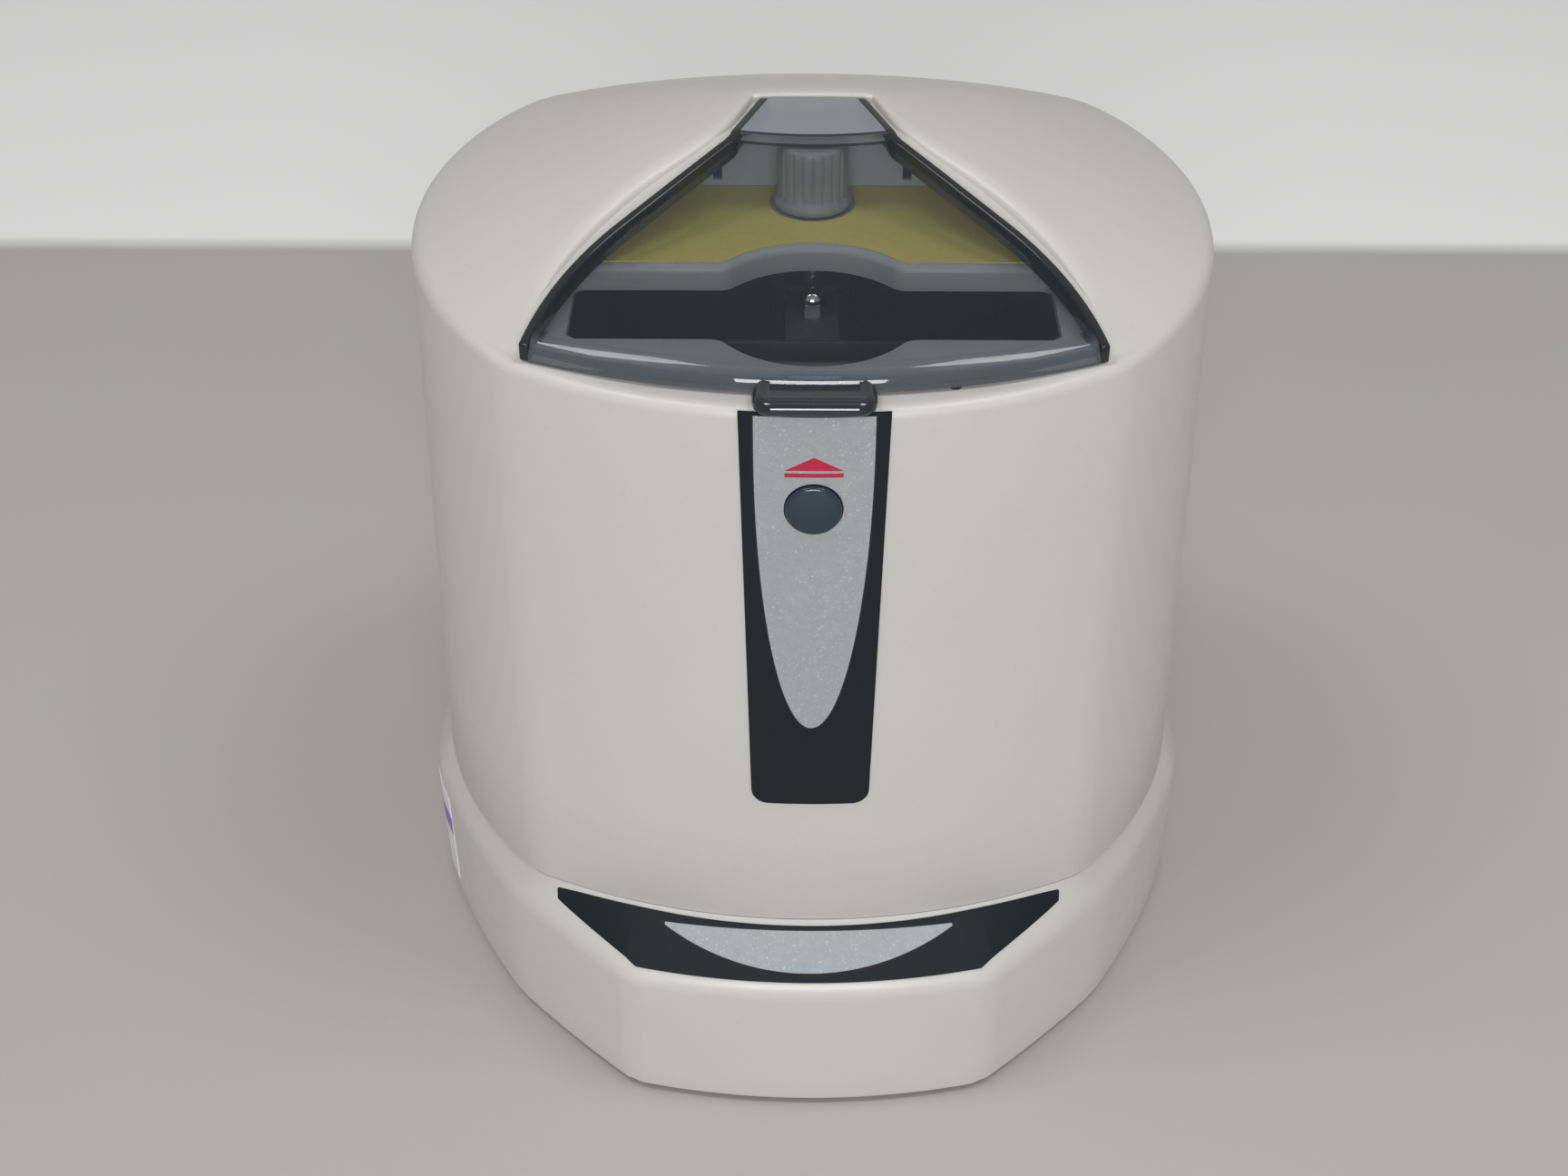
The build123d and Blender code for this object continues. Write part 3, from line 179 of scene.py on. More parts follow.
# ---------- modelling tools
class Bench:
    """Short names for the modelling steps that every piece uses."""

    @staticmethod
    def clear() -> None:
        """Leaves edit mode with nothing selected."""
        if bpy.context.mode != "OBJECT":
            bpy.ops.object.mode_set(mode="OBJECT")
        bpy.ops.object.select_all(action="DESELECT")

    @staticmethod
    def pick(piece: Piece) -> None:
        """Selects one object alone and makes it active."""
        Bench.clear()
        piece.select_set(True)
        bpy.context.view_layer.objects.active = piece

    @staticmethod
    def settle(piece: Piece) -> None:
        """Moves an object's place, turn and size into its mesh."""
        Bench.pick(piece)
        bpy.ops.object.transform_apply(location=True, rotation=True, scale=True)

    @staticmethod
    def apply(piece: Piece, kind: str, **settings: object) -> None:
        """Adds a modifier and applies it at once."""
        Bench.pick(piece)
        modifier = piece.modifiers.new(kind.lower(), kind)
        for name, value in settings.items():
            setattr(modifier, name, value)
        bpy.ops.object.modifier_apply(modifier=modifier.name)

    @staticmethod
    def bevel(piece: Piece, width: float, segments: int = 3, angle: float = 35.0) -> None:
        """Rounds every edge sharper than an angle.

        Args:
            piece: the object to round.
            width: the width of the rounding in millimetres.
            segments: how many faces the rounding has across it.
            angle: the least angle, in degrees, of an edge that is rounded.
        """
        Bench.apply(piece, "BEVEL", width=width * MM, segments=segments, limit_method="ANGLE",
                    angle_limit=math.radians(angle), use_clamp_overlap=True, harden_normals=False)

    @staticmethod
    def thicken(piece: Piece, thick: float, even: bool = False) -> None:
        """Gives a sheet its thickness in millimetres, below its face."""
        Bench.apply(piece, "SOLIDIFY", thickness=thick * MM, offset=-1.0, use_even_offset=even, use_rim=True)

    @staticmethod
    def cut(piece: Piece, other: Piece, operation: str = "DIFFERENCE") -> None:
        """Takes another solid out of a piece, or adds it with UNION, and removes that solid."""
        Bench.apply(piece, "BOOLEAN", operation=operation, object=other, solver="EXACT")
        bpy.data.objects.remove(other, do_unlink=True)

    @staticmethod
    def smooth(piece: Piece, angle: float = 32.0) -> None:
        """Shades a piece smooth, apart from edges sharper than an angle."""
        Bench.pick(piece)
        bpy.ops.object.shade_smooth_by_angle(angle=math.radians(angle))

    @staticmethod
    def loft(name: str, rings: Sequence[Sequence[Point]], caps: bool = False,
             loop: bool = False) -> Piece:
        """Extrudes a ring of vertices from one outline to the next.

        Args:
            name: the new object's name.
            rings: outlines with the same number of points, in millimetres.
            caps: whether to close both ends with a face.
            loop: whether the last outline joins the first.

        Returns:
            The new object, at the origin.
        """
        Bench.clear()
        count = len(rings[0])
        bpy.ops.mesh.primitive_circle_add(vertices=count, radius=MM, fill_type="NGON" if caps else "NOTHING")
        piece = bpy.context.active_object
        piece.name = name
        bpy.ops.object.mode_set(mode="EDIT")
        if caps:
            bpy.ops.mesh.select_all(action="SELECT")
        order = list(range(count))
        Bench._move(piece, order, rings[0])
        for ring in rings[1:]:
            bpy.ops.mesh.extrude_region_move()
            order = Bench._partners(piece, order)
            Bench._move(piece, order, ring)
        bpy.ops.mesh.select_all(action="SELECT")
        if loop:
            bpy.ops.mesh.remove_doubles(threshold=1e-6)
        bpy.ops.mesh.normals_make_consistent(inside=False)
        bpy.ops.object.mode_set(mode="OBJECT")
        return piece

    @staticmethod
    def _move(piece: Piece, order: Sequence[int], ring: Sequence[Point]) -> None:
        """Puts the numbered vertices on an outline."""
        mesh = bmesh.from_edit_mesh(piece.data)
        mesh.verts.ensure_lookup_table()
        for index, point in zip(order, ring):
            mesh.verts[index].co = place(point)
        bmesh.update_edit_mesh(piece.data)

    @staticmethod
    def _partners(piece: Piece, order: Sequence[int]) -> list[int]:
        """Finds the vertices that an extrusion made, in the order of those it started from."""
        mesh = bmesh.from_edit_mesh(piece.data)
        mesh.verts.ensure_lookup_table()
        mesh.verts.index_update()
        known = set(order)
        result = []
        for index in order:
            vert = mesh.verts[index]
            ends = (edge.other_vert(vert) for edge in vert.link_edges)
            result.append(next(end.index for end in ends if end.select and end.index not in known))
        return result

    @staticmethod
    def block(name: str, low: Point, high: Point) -> Piece:
        """Adds a box between two corners."""
        Bench.clear()
        middle = tuple((a + b) / 2 for a, b in zip(low, high))
        bpy.ops.mesh.primitive_cube_add(size=1.0, location=place(middle))
        piece = bpy.context.active_object
        piece.name = name
        piece.scale = [(b - a) * MM for a, b in zip(low, high)]
        Bench.settle(piece)
        return piece

    @staticmethod
    def rod(name: str, centre: Point, radius: float, length: float, axis: str = "Z",
            sides: int = 64) -> Piece:
        """Adds a cylinder about a centre, along one of the axes."""
        Bench.clear()
        turn = {"X": (0.0, math.pi / 2, 0.0), "Y": (math.pi / 2, 0.0, 0.0), "Z": (0.0, 0.0, 0.0)}[axis]
        bpy.ops.mesh.primitive_cylinder_add(vertices=sides, radius=radius * MM, depth=length * MM,
                                            location=place(centre), rotation=turn)
        piece = bpy.context.active_object
        piece.name = name
        Bench.settle(piece)
        return piece

    @staticmethod
    def turned(name: str, profile: Sequence[Plan], centre: Plan, sides: int = 96,
               radius_at: Optional[Callable[[float, float, float], float]] = None) -> Piece:
        """Turns a profile of (radius, z) points about an upright axis, with closed ends.

        Args:
            name: the new object's name.
            profile: points from the bottom of the axis to its top.
            centre: the axis in plan.
            sides: how many points each ring has.
            radius_at: changes a radius by angle and height, as flutes do.

        Returns:
            The new object.
        """
        rings = []
        for radius, z in profile:
            ring = []
            for step in range(sides):
                angle = 2 * math.pi * step / sides
                real = radius_at(radius, angle, z) if radius_at else radius
                ring.append((centre[0] + real * math.cos(angle), centre[1] + real * math.sin(angle), z))
            rings.append(ring)
        return Bench.loft(name, rings, caps=True)

    @staticmethod
    def sheet(name: str, rows: Sequence[Sequence[Point]]) -> Piece:
        """Lays a sheet through rows of points with the same count in each.

        Args:
            name: the new object's name.
            rows: the rows, in millimetres.

        Returns:
            The new object, whose faces look up.
        """
        Bench.clear()
        across, along = len(rows[0]), len(rows)
        bpy.ops.mesh.primitive_grid_add(x_subdivisions=across - 1, y_subdivisions=along - 1, size=2.0)
        piece = bpy.context.active_object
        piece.name = name
        for vert in piece.data.vertices:
            column = round((vert.co.x + 1.0) / 2.0 * (across - 1))
            row = round((vert.co.y + 1.0) / 2.0 * (along - 1))
            vert.co = place(rows[along - 1 - row][column])
        piece.data.update()
        return piece

    @staticmethod
    def join(name: str, pieces: Sequence[Piece]) -> Piece:
        """Makes one object of several."""
        Bench.pick(pieces[0])
        for piece in pieces:
            piece.select_set(True)
        bpy.ops.object.join()
        joined = bpy.context.active_object
        joined.name = name
        return joined

    @staticmethod
    def copy_of(node: str, name: str) -> Piece:
        """Copies a frame node's mesh, welded and with one face for each flat stretch.

        Args:
            node: the frame node.
            name: the copy's name.

        Returns:
            The copy, free of its body.
        """
        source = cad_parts[node]
        piece = bpy.data.objects.new(name, source.data.copy())
        bpy.context.scene.collection.objects.link(piece)
        piece.data.materials.clear()
        Bench.pick(piece)
        bpy.ops.object.mode_set(mode="EDIT")
        bpy.ops.mesh.select_all(action="SELECT")
        bpy.ops.mesh.remove_doubles(threshold=2e-6)
        bpy.ops.mesh.dissolve_limited(angle_limit=math.radians(0.6))
        bpy.ops.object.mode_set(mode="OBJECT")
        return piece


# ---------- shader tools
class Recipe:
    """A material under construction, with short calls for its nodes."""

    def __init__(self, name: str) -> None:
        """Starts an empty material with its output and its surface shader."""
        self.material = bpy.data.materials.new(name)
        self.material.use_nodes = True
        self.tree = self.material.node_tree
        self.shader = self.tree.nodes["Principled BSDF"]
        self.place = self.tree.nodes.new("ShaderNodeTexCoord").outputs["Object"]

    def node(self, kind: str, settings: Optional[dict] = None, **inputs: object) -> bpy.types.Node:
        """Adds a node, sets its options, and feeds its inputs.

        Args:
            kind: the node's type after ShaderNode.
            settings: attributes of the node itself.
            inputs: its sockets by name, with _ for a space; a socket is linked and a value is set.

        Returns:
            The node.
        """
        node = self.tree.nodes.new("ShaderNode" + kind)
        for name, value in (settings or {}).items():
            setattr(node, name, value)
        for name, value in inputs.items():
            self.feed(node.inputs[name.replace("_", " ")], value)
        return node

    def feed(self, socket: Socket, value: object) -> None:
        """Links an output to a socket, or sets the socket's own value."""
        if isinstance(value, Socket):
            self.tree.links.new(value, socket)
        else:
            socket.default_value = value

    def set(self, **inputs: object) -> None:
        """Feeds the surface shader's sockets."""
        for name, value in inputs.items():
            self.feed(self.shader.inputs[name.replace("_", " ")], value)

    def noise(self, size_mm: float, detail: float = 2.0, roughness: float = 0.5,
              stretch: Point = (1.0, 1.0, 1.0)) -> Socket:
        """Noise with features of a size in millimetres, optionally stretched along the axes."""
        mapping = self.node("Mapping", Vector=self.place, Scale=Vector(stretch))
        noise = self.node("TexNoise", Vector=mapping.outputs[0], Scale=1.0 / (size_mm * MM), Detail=detail,
                          Roughness=roughness)
        return noise.outputs[0]

    def between(self, value: Socket, low: float, high: float, start: float = 0.3,
                end: float = 0.7) -> Socket:
        """Maps a value from start..end to low..high."""
        node = self.node("MapRange", Value=value, From_Min=start, From_Max=end, To_Min=low, To_Max=high)
        return node.outputs[0]

    def blend(self, share: Socket, one: Colour, two: Colour) -> Socket:
        """Mixes two colours, or a colour output and a colour, by a share."""
        node = self.node("Mix", {"data_type": "RGBA"}, Factor=share)
        for socket, value in ((node.inputs[6], one), (node.inputs[7], two)):
            self.feed(socket, value if isinstance(value, Socket) else (*value, 1.0))
        return node.outputs[2]

    def step(self, kind: str, one: object, two: object = 0.0) -> Socket:
        """The result of one arithmetic step, such as ADD."""
        node = self.node("Math", {"operation": kind})
        self.feed(node.inputs[0], one)
        self.feed(node.inputs[1], two)
        return node.outputs[0]

    def lerp(self, share: Socket, one: object, two: object) -> Socket:
        """Mixes two values by a share."""
        return self.node("Mix", Factor=share, A=one, B=two).outputs[0]

    def bump(self, height: Socket, depth_mm: float, strength: float) -> Socket:
        """Turns a height into a normal."""
        return self.node("Bump", Height=height, Strength=strength, Distance=depth_mm * MM).outputs[0]


def shade(colour: Colour, amount: float) -> Colour:
    """A colour made lighter or darker by a factor."""
    return tuple(min(1.0, part * amount) for part in colour)


@dataclass(frozen=True)
class Finish:
    """A surface with a name and a main colour."""

    name: str
    colour: Colour

    def make(self) -> bpy.types.Material:
        """Builds the material."""
        recipe = Recipe(self.name)
        self.fill(recipe)
        return recipe.material

    def fill(self, recipe: Recipe) -> None:
        """Feeds the surface shader, each finish in its own way."""
        raise NotImplementedError


@dataclass(frozen=True)
class MouldedPlastic(Finish):
    """Injection-moulded plastic with a fine spark texture and faint unevenness of tone."""

    roughness: float = 0.42
    grain_mm: float = 0.35
    grain_depth: float = 0.02
    tone: float = 0.03
    specular: float = 0.45
    coat: float = 0.0

    def fill(self, recipe: Recipe) -> None:
        """Feeds the surface shader."""
        clouds = recipe.noise(38.0, 3.0)
        colour = recipe.blend(clouds, shade(self.colour, 1 - self.tone), shade(self.colour, 1 + self.tone))
        specks = recipe.between(recipe.noise(2.2, 1.0), 0.0, 1.0, 0.66, 0.74)
        colour = recipe.blend(recipe.between(specks, 0.0, 0.12, 0.0, 1.0), colour, shade(self.colour, 0.8))
        grain = recipe.noise(self.grain_mm, 2.0, 0.6)
        rough = recipe.between(recipe.noise(9.0, 3.0), self.roughness - 0.05, self.roughness + 0.05)
        recipe.set(Base_Color=colour, Roughness=rough, Normal=recipe.bump(grain, self.grain_depth, 0.6))
        recipe.set(Specular_IOR_Level=self.specular, Coat_Weight=self.coat, Coat_Roughness=0.25)


@dataclass(frozen=True)
class GlossPlastic(Finish):
    """Polished plastic with hairline scratches and a little dust."""

    roughness: float = 0.08
    coat: float = 0.5
    dust: float = 0.04

    def fill(self, recipe: Recipe) -> None:
        """Feeds the surface shader."""
        dust = recipe.between(recipe.noise(0.6, 2.0), 0.0, self.dust, 0.62, 0.72)
        colour = recipe.blend(dust, self.colour, (0.5, 0.5, 0.48))
        smears = recipe.noise(14.0, 4.0, 0.6)
        scratches = recipe.noise(0.5, 1.0, 0.5, (1.0, 14.0, 14.0))
        rough = recipe.between(smears, self.roughness, self.roughness + 0.06)
        recipe.set(Base_Color=colour, Roughness=rough, Normal=recipe.bump(scratches, 0.003, 0.25))
        recipe.set(Coat_Weight=self.coat, Coat_Roughness=0.03)


@dataclass(frozen=True)
class TintedAcrylic(Finish):
    """Clear sheet with a grey tint; over the flat back a pale painted reflection of a bright wall, along the
    crease there a painted shade line, and along the front bend a darker, denser painted shade.
    """

    opacity: float = 0.3
    # Painted reflection: a pale grey with its own opacity, painted over the flat back inside the crease
    # circle as a bright wall's reflection.
    painted_wall_reflection: Colour = (0.31, 0.33, 0.37)
    painted_wall_reflection_opacity: float = 0.68
    painted_wall_reflection_circle: Plan = (0.0885, 0.087)
    # line: half the width of the painted shade line along the crease.
    line: float = 0.0008
    # lip, lip_opacity and lip_circle: painted shade over the front bend, darker and denser, standing for the
    # dark recess seen behind it.
    lip: Colour = (0.075, 0.092, 0.112)
    lip_opacity: float = 0.72
    lip_circle: Plan = (0.1063, 0.1925)
    roughness: float = 0.03
    ior: float = 1.45

    def fill(self, recipe: Recipe) -> None:
        """Feeds the surface shader."""
        away = self._away(recipe, self.painted_wall_reflection_circle)
        # Painted wall reflection over the flat back, inside the crease circle.
        painted_wall_reflection_mask = recipe.between(away, 1.0, 0.0, -0.0002, 0.0002)
        # Painted shade: a near-black, nearly opaque line along the crease.
        painted_crease_shade = recipe.between(recipe.step("ABSOLUTE", away), 1.0, 0.0, self.line * 0.8, self.line * 1.2)
        # Painted shade over the front bend, outside the lip circle.
        painted_bend_shade = recipe.between(self._away(recipe, self.lip_circle), 0.0, 1.0, 0.0, 0.003)
        dust = recipe.between(recipe.noise(0.7, 1.0), 0.0, 0.3, 0.70, 0.76)
        colour = recipe.blend(dust, self.colour, (0.4, 0.42, 0.43))
        colour = recipe.blend(painted_bend_shade, colour, self.lip)
        colour = recipe.blend(painted_wall_reflection_mask, colour, self.painted_wall_reflection)
        colour = recipe.blend(painted_crease_shade, colour, (0.012, 0.014, 0.017))
        haze = recipe.noise(45.0, 3.0)
        cover = recipe.between(haze, self.opacity - 0.02, self.opacity + 0.02)
        for share, value in ((painted_bend_shade, self.lip_opacity), (painted_wall_reflection_mask, self.painted_wall_reflection_opacity), (painted_crease_shade, 0.92)):
            cover = recipe.lerp(share, cover, value)
        waves = recipe.noise(26.0, 1.0)
        rough = recipe.between(recipe.noise(30.0, 3.0), self.roughness, self.roughness + 0.03)
        recipe.set(Base_Color=colour, Alpha=cover, Roughness=rough, Normal=recipe.bump(waves, 0.02, 0.3))
        recipe.set(IOR=self.ior, Coat_Weight=0.7, Coat_Roughness=0.03, Coat_IOR=1.5)

    def _away(self, recipe: Recipe, circle: Plan) -> Socket:
        """The distance outside an upright cylinder, given by its middle's y and its radius."""
        parts = recipe.node("SeparateXYZ", Vector=recipe.place)
        across, along = parts.outputs[0], recipe.step("SUBTRACT", parts.outputs[1], circle[0])
        squares = [recipe.step("MULTIPLY", part, part) for part in (across, along)]
        return recipe.step("SUBTRACT", recipe.step("SQRT", recipe.step("ADD", *squares)), circle[1])


@dataclass(frozen=True)
class PrintedFilm(Finish):
    """A printed label film, plain or with silver speckles under its face."""

    fleck: Colour
    fleck_share: float = 0.25
    fleck_mm: float = 0.45
    roughness: float = 0.3
    metallic: float = 0.0

    def fill(self, recipe: Recipe) -> None:
        """Feeds the surface shader."""
        cells = recipe.node("TexVoronoi", Vector=recipe.place, Scale=1.0 / (self.fleck_mm * MM))
        flecks = recipe.between(cells.outputs["Color"], 0.0, 1.0, 1.0 - self.fleck_share, 1.0)
        mottle = recipe.noise(2.4, 3.0, 0.7)
        base = recipe.blend(mottle, shade(self.colour, 0.88), shade(self.colour, 1.12))
        colour = recipe.blend(flecks, base, self.fleck)
        rough = recipe.between(recipe.noise(6.0, 3.0), self.roughness - 0.05, self.roughness + 0.08)
        recipe.set(Base_Color=colour, Roughness=rough, Normal=recipe.bump(mottle, 0.01, 0.3))
        recipe.set(Metallic=self.metallic, Coat_Weight=0.05, Coat_Roughness=0.3, Specular_IOR_Level=0.25)


class Brush(Enum):
    """The way a metal surface was finished, as the stretch of its marks along each axis."""

    TURNED = (1.0, 1.0, 30.0)
    BLASTED = (1.0, 1.0, 1.0)


@dataclass(frozen=True)
class Metal(Finish):
    """Bare or plated metal with tool marks."""

    roughness: float = 0.3
    brush: Brush = Brush.BLASTED
    marks: float = 0.004

    def fill(self, recipe: Recipe) -> None:
        """Feeds the surface shader."""
        lines = recipe.noise(3.0, 3.0, 0.6, self.brush.value)
        tarnish = recipe.noise(16.0, 4.0, 0.6)
        colour = recipe.blend(tarnish, shade(self.colour, 0.84), shade(self.colour, 1.08))
        rough = recipe.between(lines, self.roughness - 0.07, self.roughness + 0.1)
        recipe.set(Base_Color=colour, Roughness=rough, Metallic=1.0)
        recipe.set(Normal=recipe.bump(lines, self.marks, 0.5))


@dataclass(frozen=True)
class Rubber(Finish):
    """Dull rubber with a powdery bloom."""


    def fill(self, recipe: Recipe) -> None:
        """Feeds the surface shader."""
        bloom = recipe.between(recipe.noise(5.0, 4.0, 0.7), 0.0, 0.5)
        colour = recipe.blend(bloom, self.colour, shade(self.colour, 2.6))
        recipe.set(Base_Color=colour, Roughness=0.78, Normal=recipe.bump(recipe.noise(0.4, 2.0), 0.03, 0.5))
        recipe.set(Specular_IOR_Level=0.25)


@dataclass(frozen=True)
class CircuitFilm(Finish):
    """Green solder resist over a net of tracks."""


    def fill(self, recipe: Recipe) -> None:
        """Feeds the surface shader."""
        settings = {"distance": "CHEBYCHEV", "feature": "F2"}
        cells = recipe.node("TexVoronoi", settings, Vector=recipe.place, Scale=260.0, Randomness=0.7)
        tracks = recipe.between(cells.outputs["Distance"], 0.0, 1.0, 0.55, 0.6)
        colour = recipe.blend(tracks, self.colour, shade(self.colour, 2.1))
        recipe.set(Base_Color=colour, Roughness=0.3, Normal=recipe.bump(tracks, 0.03, 0.6), Coat_Weight=0.4)


class Finishes:
    """Every finish of the machine, made once and handed out by name."""

    recipes = {
        "housing": MouldedPlastic("housing_plastic", (0.56, 0.55, 0.535), 0.36, 0.3, 0.012, 0.02, 0.5, 0.15),
        "base": MouldedPlastic("base_plastic", (0.56, 0.55, 0.535), 0.38, 0.3, 0.012, 0.02, 0.5, 0.15),
        "lid": TintedAcrylic("smoked_acrylic", (0.035, 0.043, 0.053), 0.22),
        "tab": GlossPlastic("smoked_tab", (0.008, 0.010, 0.014), 0.05, 0.6, 0.01),
        "gloss_black": GlossPlastic("gloss_black", (0.010, 0.011, 0.013), 0.07, 0.3, 0.01),
        "silver": PrintedFilm("silver_film", (0.36, 0.39, 0.41), (0.55, 0.58, 0.6), 0.22, 0.5, 0.34, 0.15),
        "slate": PrintedFilm("slate_film", (0.006, 0.009, 0.014), (0.02, 0.025, 0.032), 0.05, 0.5, 0.5),
        "yellow": PrintedFilm("yellow_film", (0.64, 0.58, 0.17), (0.55, 0.5, 0.14), 0.1, 0.6, 0.4),
        "white": PrintedFilm("white_film", (0.74, 0.74, 0.75), (0.66, 0.66, 0.68), 0.2, 0.6, 0.5),
        "lilac": PrintedFilm("lilac_film", (0.25, 0.17, 0.5), (0.3, 0.22, 0.55), 0.1, 0.6, 0.5),
        "red": PrintedFilm("red_print", (0.48, 0.02, 0.06), (0.55, 0.05, 0.09), 0.1, 0.5, 0.4),
        "ink": PrintedFilm("black_ink", (0.015, 0.015, 0.018), (0.02, 0.02, 0.022), 0.05, 0.5, 0.4),
        "button": GlossPlastic("button_plastic", (0.016, 0.030, 0.046), 0.16, 0.2, 0.01),
        "deck": MouldedPlastic("deck_plastic", (0.34, 0.37, 0.40), 0.4, 0.4, 0.02, 0.03),
        "knob": MouldedPlastic("knob_plastic", (0.26, 0.275, 0.295), 0.4, 0.4, 0.02, 0.03),
        "black": MouldedPlastic("black_plastic", (0.022, 0.022, 0.024), 0.45, 0.5, 0.02, 0.1),
        "carrier": MouldedPlastic("carrier_coating", (0.022, 0.022, 0.024), 0.5, 0.6, 0.01, 0.05),
        "hub": MouldedPlastic("hub_coating", (0.030, 0.031, 0.034), 0.5, 0.6, 0.01, 0.05),
        "bowl": MouldedPlastic("bowl_coating", (0.026, 0.026, 0.028), 0.55, 0.6, 0.01, 0.05),
        "steel": Metal("turned_steel", (0.56, 0.56, 0.58), 0.28, Brush.TURNED),
        "nut": Metal("bright_plating", (0.75, 0.75, 0.77), 0.12, Brush.BLASTED),
        "bush": Metal("sintered_bronze", (0.55, 0.38, 0.18), 0.45, Brush.BLASTED),
        "coated": MouldedPlastic("powder_coat", (0.18, 0.185, 0.19), 0.5, 0.8, 0.05, 0.04),
        "rubber": Rubber("foot_rubber", (0.022, 0.022, 0.022)),
        "board": CircuitFilm("solder_resist", (0.012, 0.10, 0.04)),
    }

    def __init__(self) -> None:
        """Starts with nothing made."""
        self.made: dict[str, bpy.types.Material] = {}

    def get(self, name: str) -> bpy.types.Material:
        """Hands out a finish, making it on first use."""
        if name not in self.made:
            self.made[name] = self.recipes[name].make()
        return self.made[name]


FINISHES = Finishes()


def dress(piece: Piece, finish: str, body: str, slot: str, *nodes: str) -> None:
    """Gives a piece its finish and its body, and hides the frame nodes that it stands for.

    Args:
        piece: the finished mesh, at the origin.
        finish: a name in Finishes.
        body: the frame body that it moves with.
        slot: the record's material slot, which is not used.
        nodes: frame nodes that it replaces.
    """
    piece.data.materials.clear()
    piece.data.materials.append(FINISHES.get(finish))
    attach(piece, body)
    if nodes:
        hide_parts(*nodes)
    LOG.info("%s: %d faces on %s", piece.name, len(piece.data.polygons), body)


# ---------- plan and ring helpers
def mirrored(points: Iterable[Plan]) -> list[Plan]:
    """The mirror images in x, in reverse order."""
    return [(-x, y) for x, y in reversed(list(points))]


def shifted(line: Sequence[Plan], distance: float) -> list[Plan]:
    """Moves an open line sideways, to the right of its run where the distance is positive."""
    result = []
    last = len(line) - 1
    for index, (x, y) in enumerate(line):
        before, after = line[max(0, index - 1)], line[min(last, index + 1)]
        run = math.dist(before, after)
        along = (after[0] - before[0], after[1] - before[1])
        result.append((x + distance * along[1] / run, y - distance * along[0] / run))
    return result


def clipped(line: Sequence[Plan], inside: Callable[[Plan], bool]) -> list[Plan]:
    """Keeps the stretch of a line that is inside, with exact ends.

    Args:
        line: a line that starts outside, runs inside, and ends outside.
        inside: tells whether a point is inside.

    Returns:
        The points inside, with the two crossing points.
    """
    kept = [point for point in line if inside(point)]
    first, last = line.index(kept[0]), line.index(kept[-1])

    def crossing(out: Plan, within: Plan) -> Plan:
        """Halves the gap until it holds the crossing."""
        for _ in range(30):
            middle = ((out[0] + within[0]) / 2, (out[1] + within[1]) / 2)
            if inside(middle):
                within = middle
            else:
                out = middle
        return within

    return [crossing(line[first - 1], kept[0])] + kept + [crossing(line[last + 1], kept[-1])]


def eased(points: Sequence[Plan], corners: Sequence[int], reach: int) -> list[Plan]:
    """Rounds an outline at its corners by averaging the points around each.

    Args:
        points: a closed outline.
        corners: the indices of its corners.
        reach: how many points to each side of a corner may move.

    Returns:
        The outline with soft corners.
    """
    total = len(points)
    result = list(points)
    for corner in corners:
        for offset in range(-reach, reach + 1):
            width = reach + 1 - abs(offset)
            near = [points[(corner + offset + step) % total] for step in range(-width, width + 1)]
            result[(corner + offset) % total] = tuple(sum(parts) / len(near) for parts in zip(*near))
    return result


def bent(start: Sequence[Point], corner: Sequence[Point], end: Sequence[Point],
         steps: int) -> list[list[Point]]:
    """Rounds a corner between rings.

    Args:
        start: the ring where the rounding starts.
        corner: the ring of the sharp corner.
        end: the ring where the rounding ends.
        steps: how many rings to lay between the two ends.

    Returns:
        The rings, with both ends.
    """
    rings = []
    for step in range(steps + 2):
        t = step / (steps + 1)
        rings.append([tuple((1 - t) ** 2 * a + 2 * t * (1 - t) * c + t * t * b for a, c, b in zip(*trio))
                      for trio in zip(start, corner, end)])
    return rings


def at_height(points: Sequence[Plan], z: float) -> list[Point]:
    """An outline at one height."""
    return [(x, y, z) for x, y in points]


# ---------- shared shapes
@dataclass
class LidShape:
    """The lid's plan and its top surface: flat at the back, then a shallow cone."""

    top_z: float = 285.8
    flat_rho: float = 87.0
    slope: float = 0.283
    cone_y: float = 77.0
    thick: float = 3.0
    rear_y: float = 17.0
    tail: Plan = (13.4, 25.0)
    crease: Plan = (25.0, -9.0)
    bend: Plan = (56.8, -42.4)
    bow: Plan = (71.8, -63.1)
    front: Plan = (80.7, -86.0)
    nose: Plan = (83.4, -110.0)
    front_y: float = -103.2
    front_radius: float = 198.0
    lip_z: float = 253.8
    trim: float = 2.6

    def height(self, x: float, y: float) -> float:
        """The height of the top surface over a plan point."""
        rho = math.hypot(x, y - self.cone_y)
        return self.top_z - self.slope * max(0.0, rho - self.flat_rho)

    def side_line(self, grow: float = 0.0, back: float = 0.0, rear_y: float = 17.0) -> list[Plan]:
        """The right-hand side from its front corner to its rear one.

        Args:
            grow: how far to move the line outwards.
            back: how far to move the front arc back.
            rear_y: where the line ends.

        Returns:
            The line's points.
        """
        line = [self.nose] + arc(self.front, self.bow, self.bend, 24) + [self.bend, self.crease, self.tail]
        line = shifted(line, grow)
        centre_y = self.front_y + self.front_radius
        radius = self.front_radius - back
        return clipped(line, lambda p: math.hypot(p[0], p[1] - centre_y) <= radius and p[1] <= rear_y)


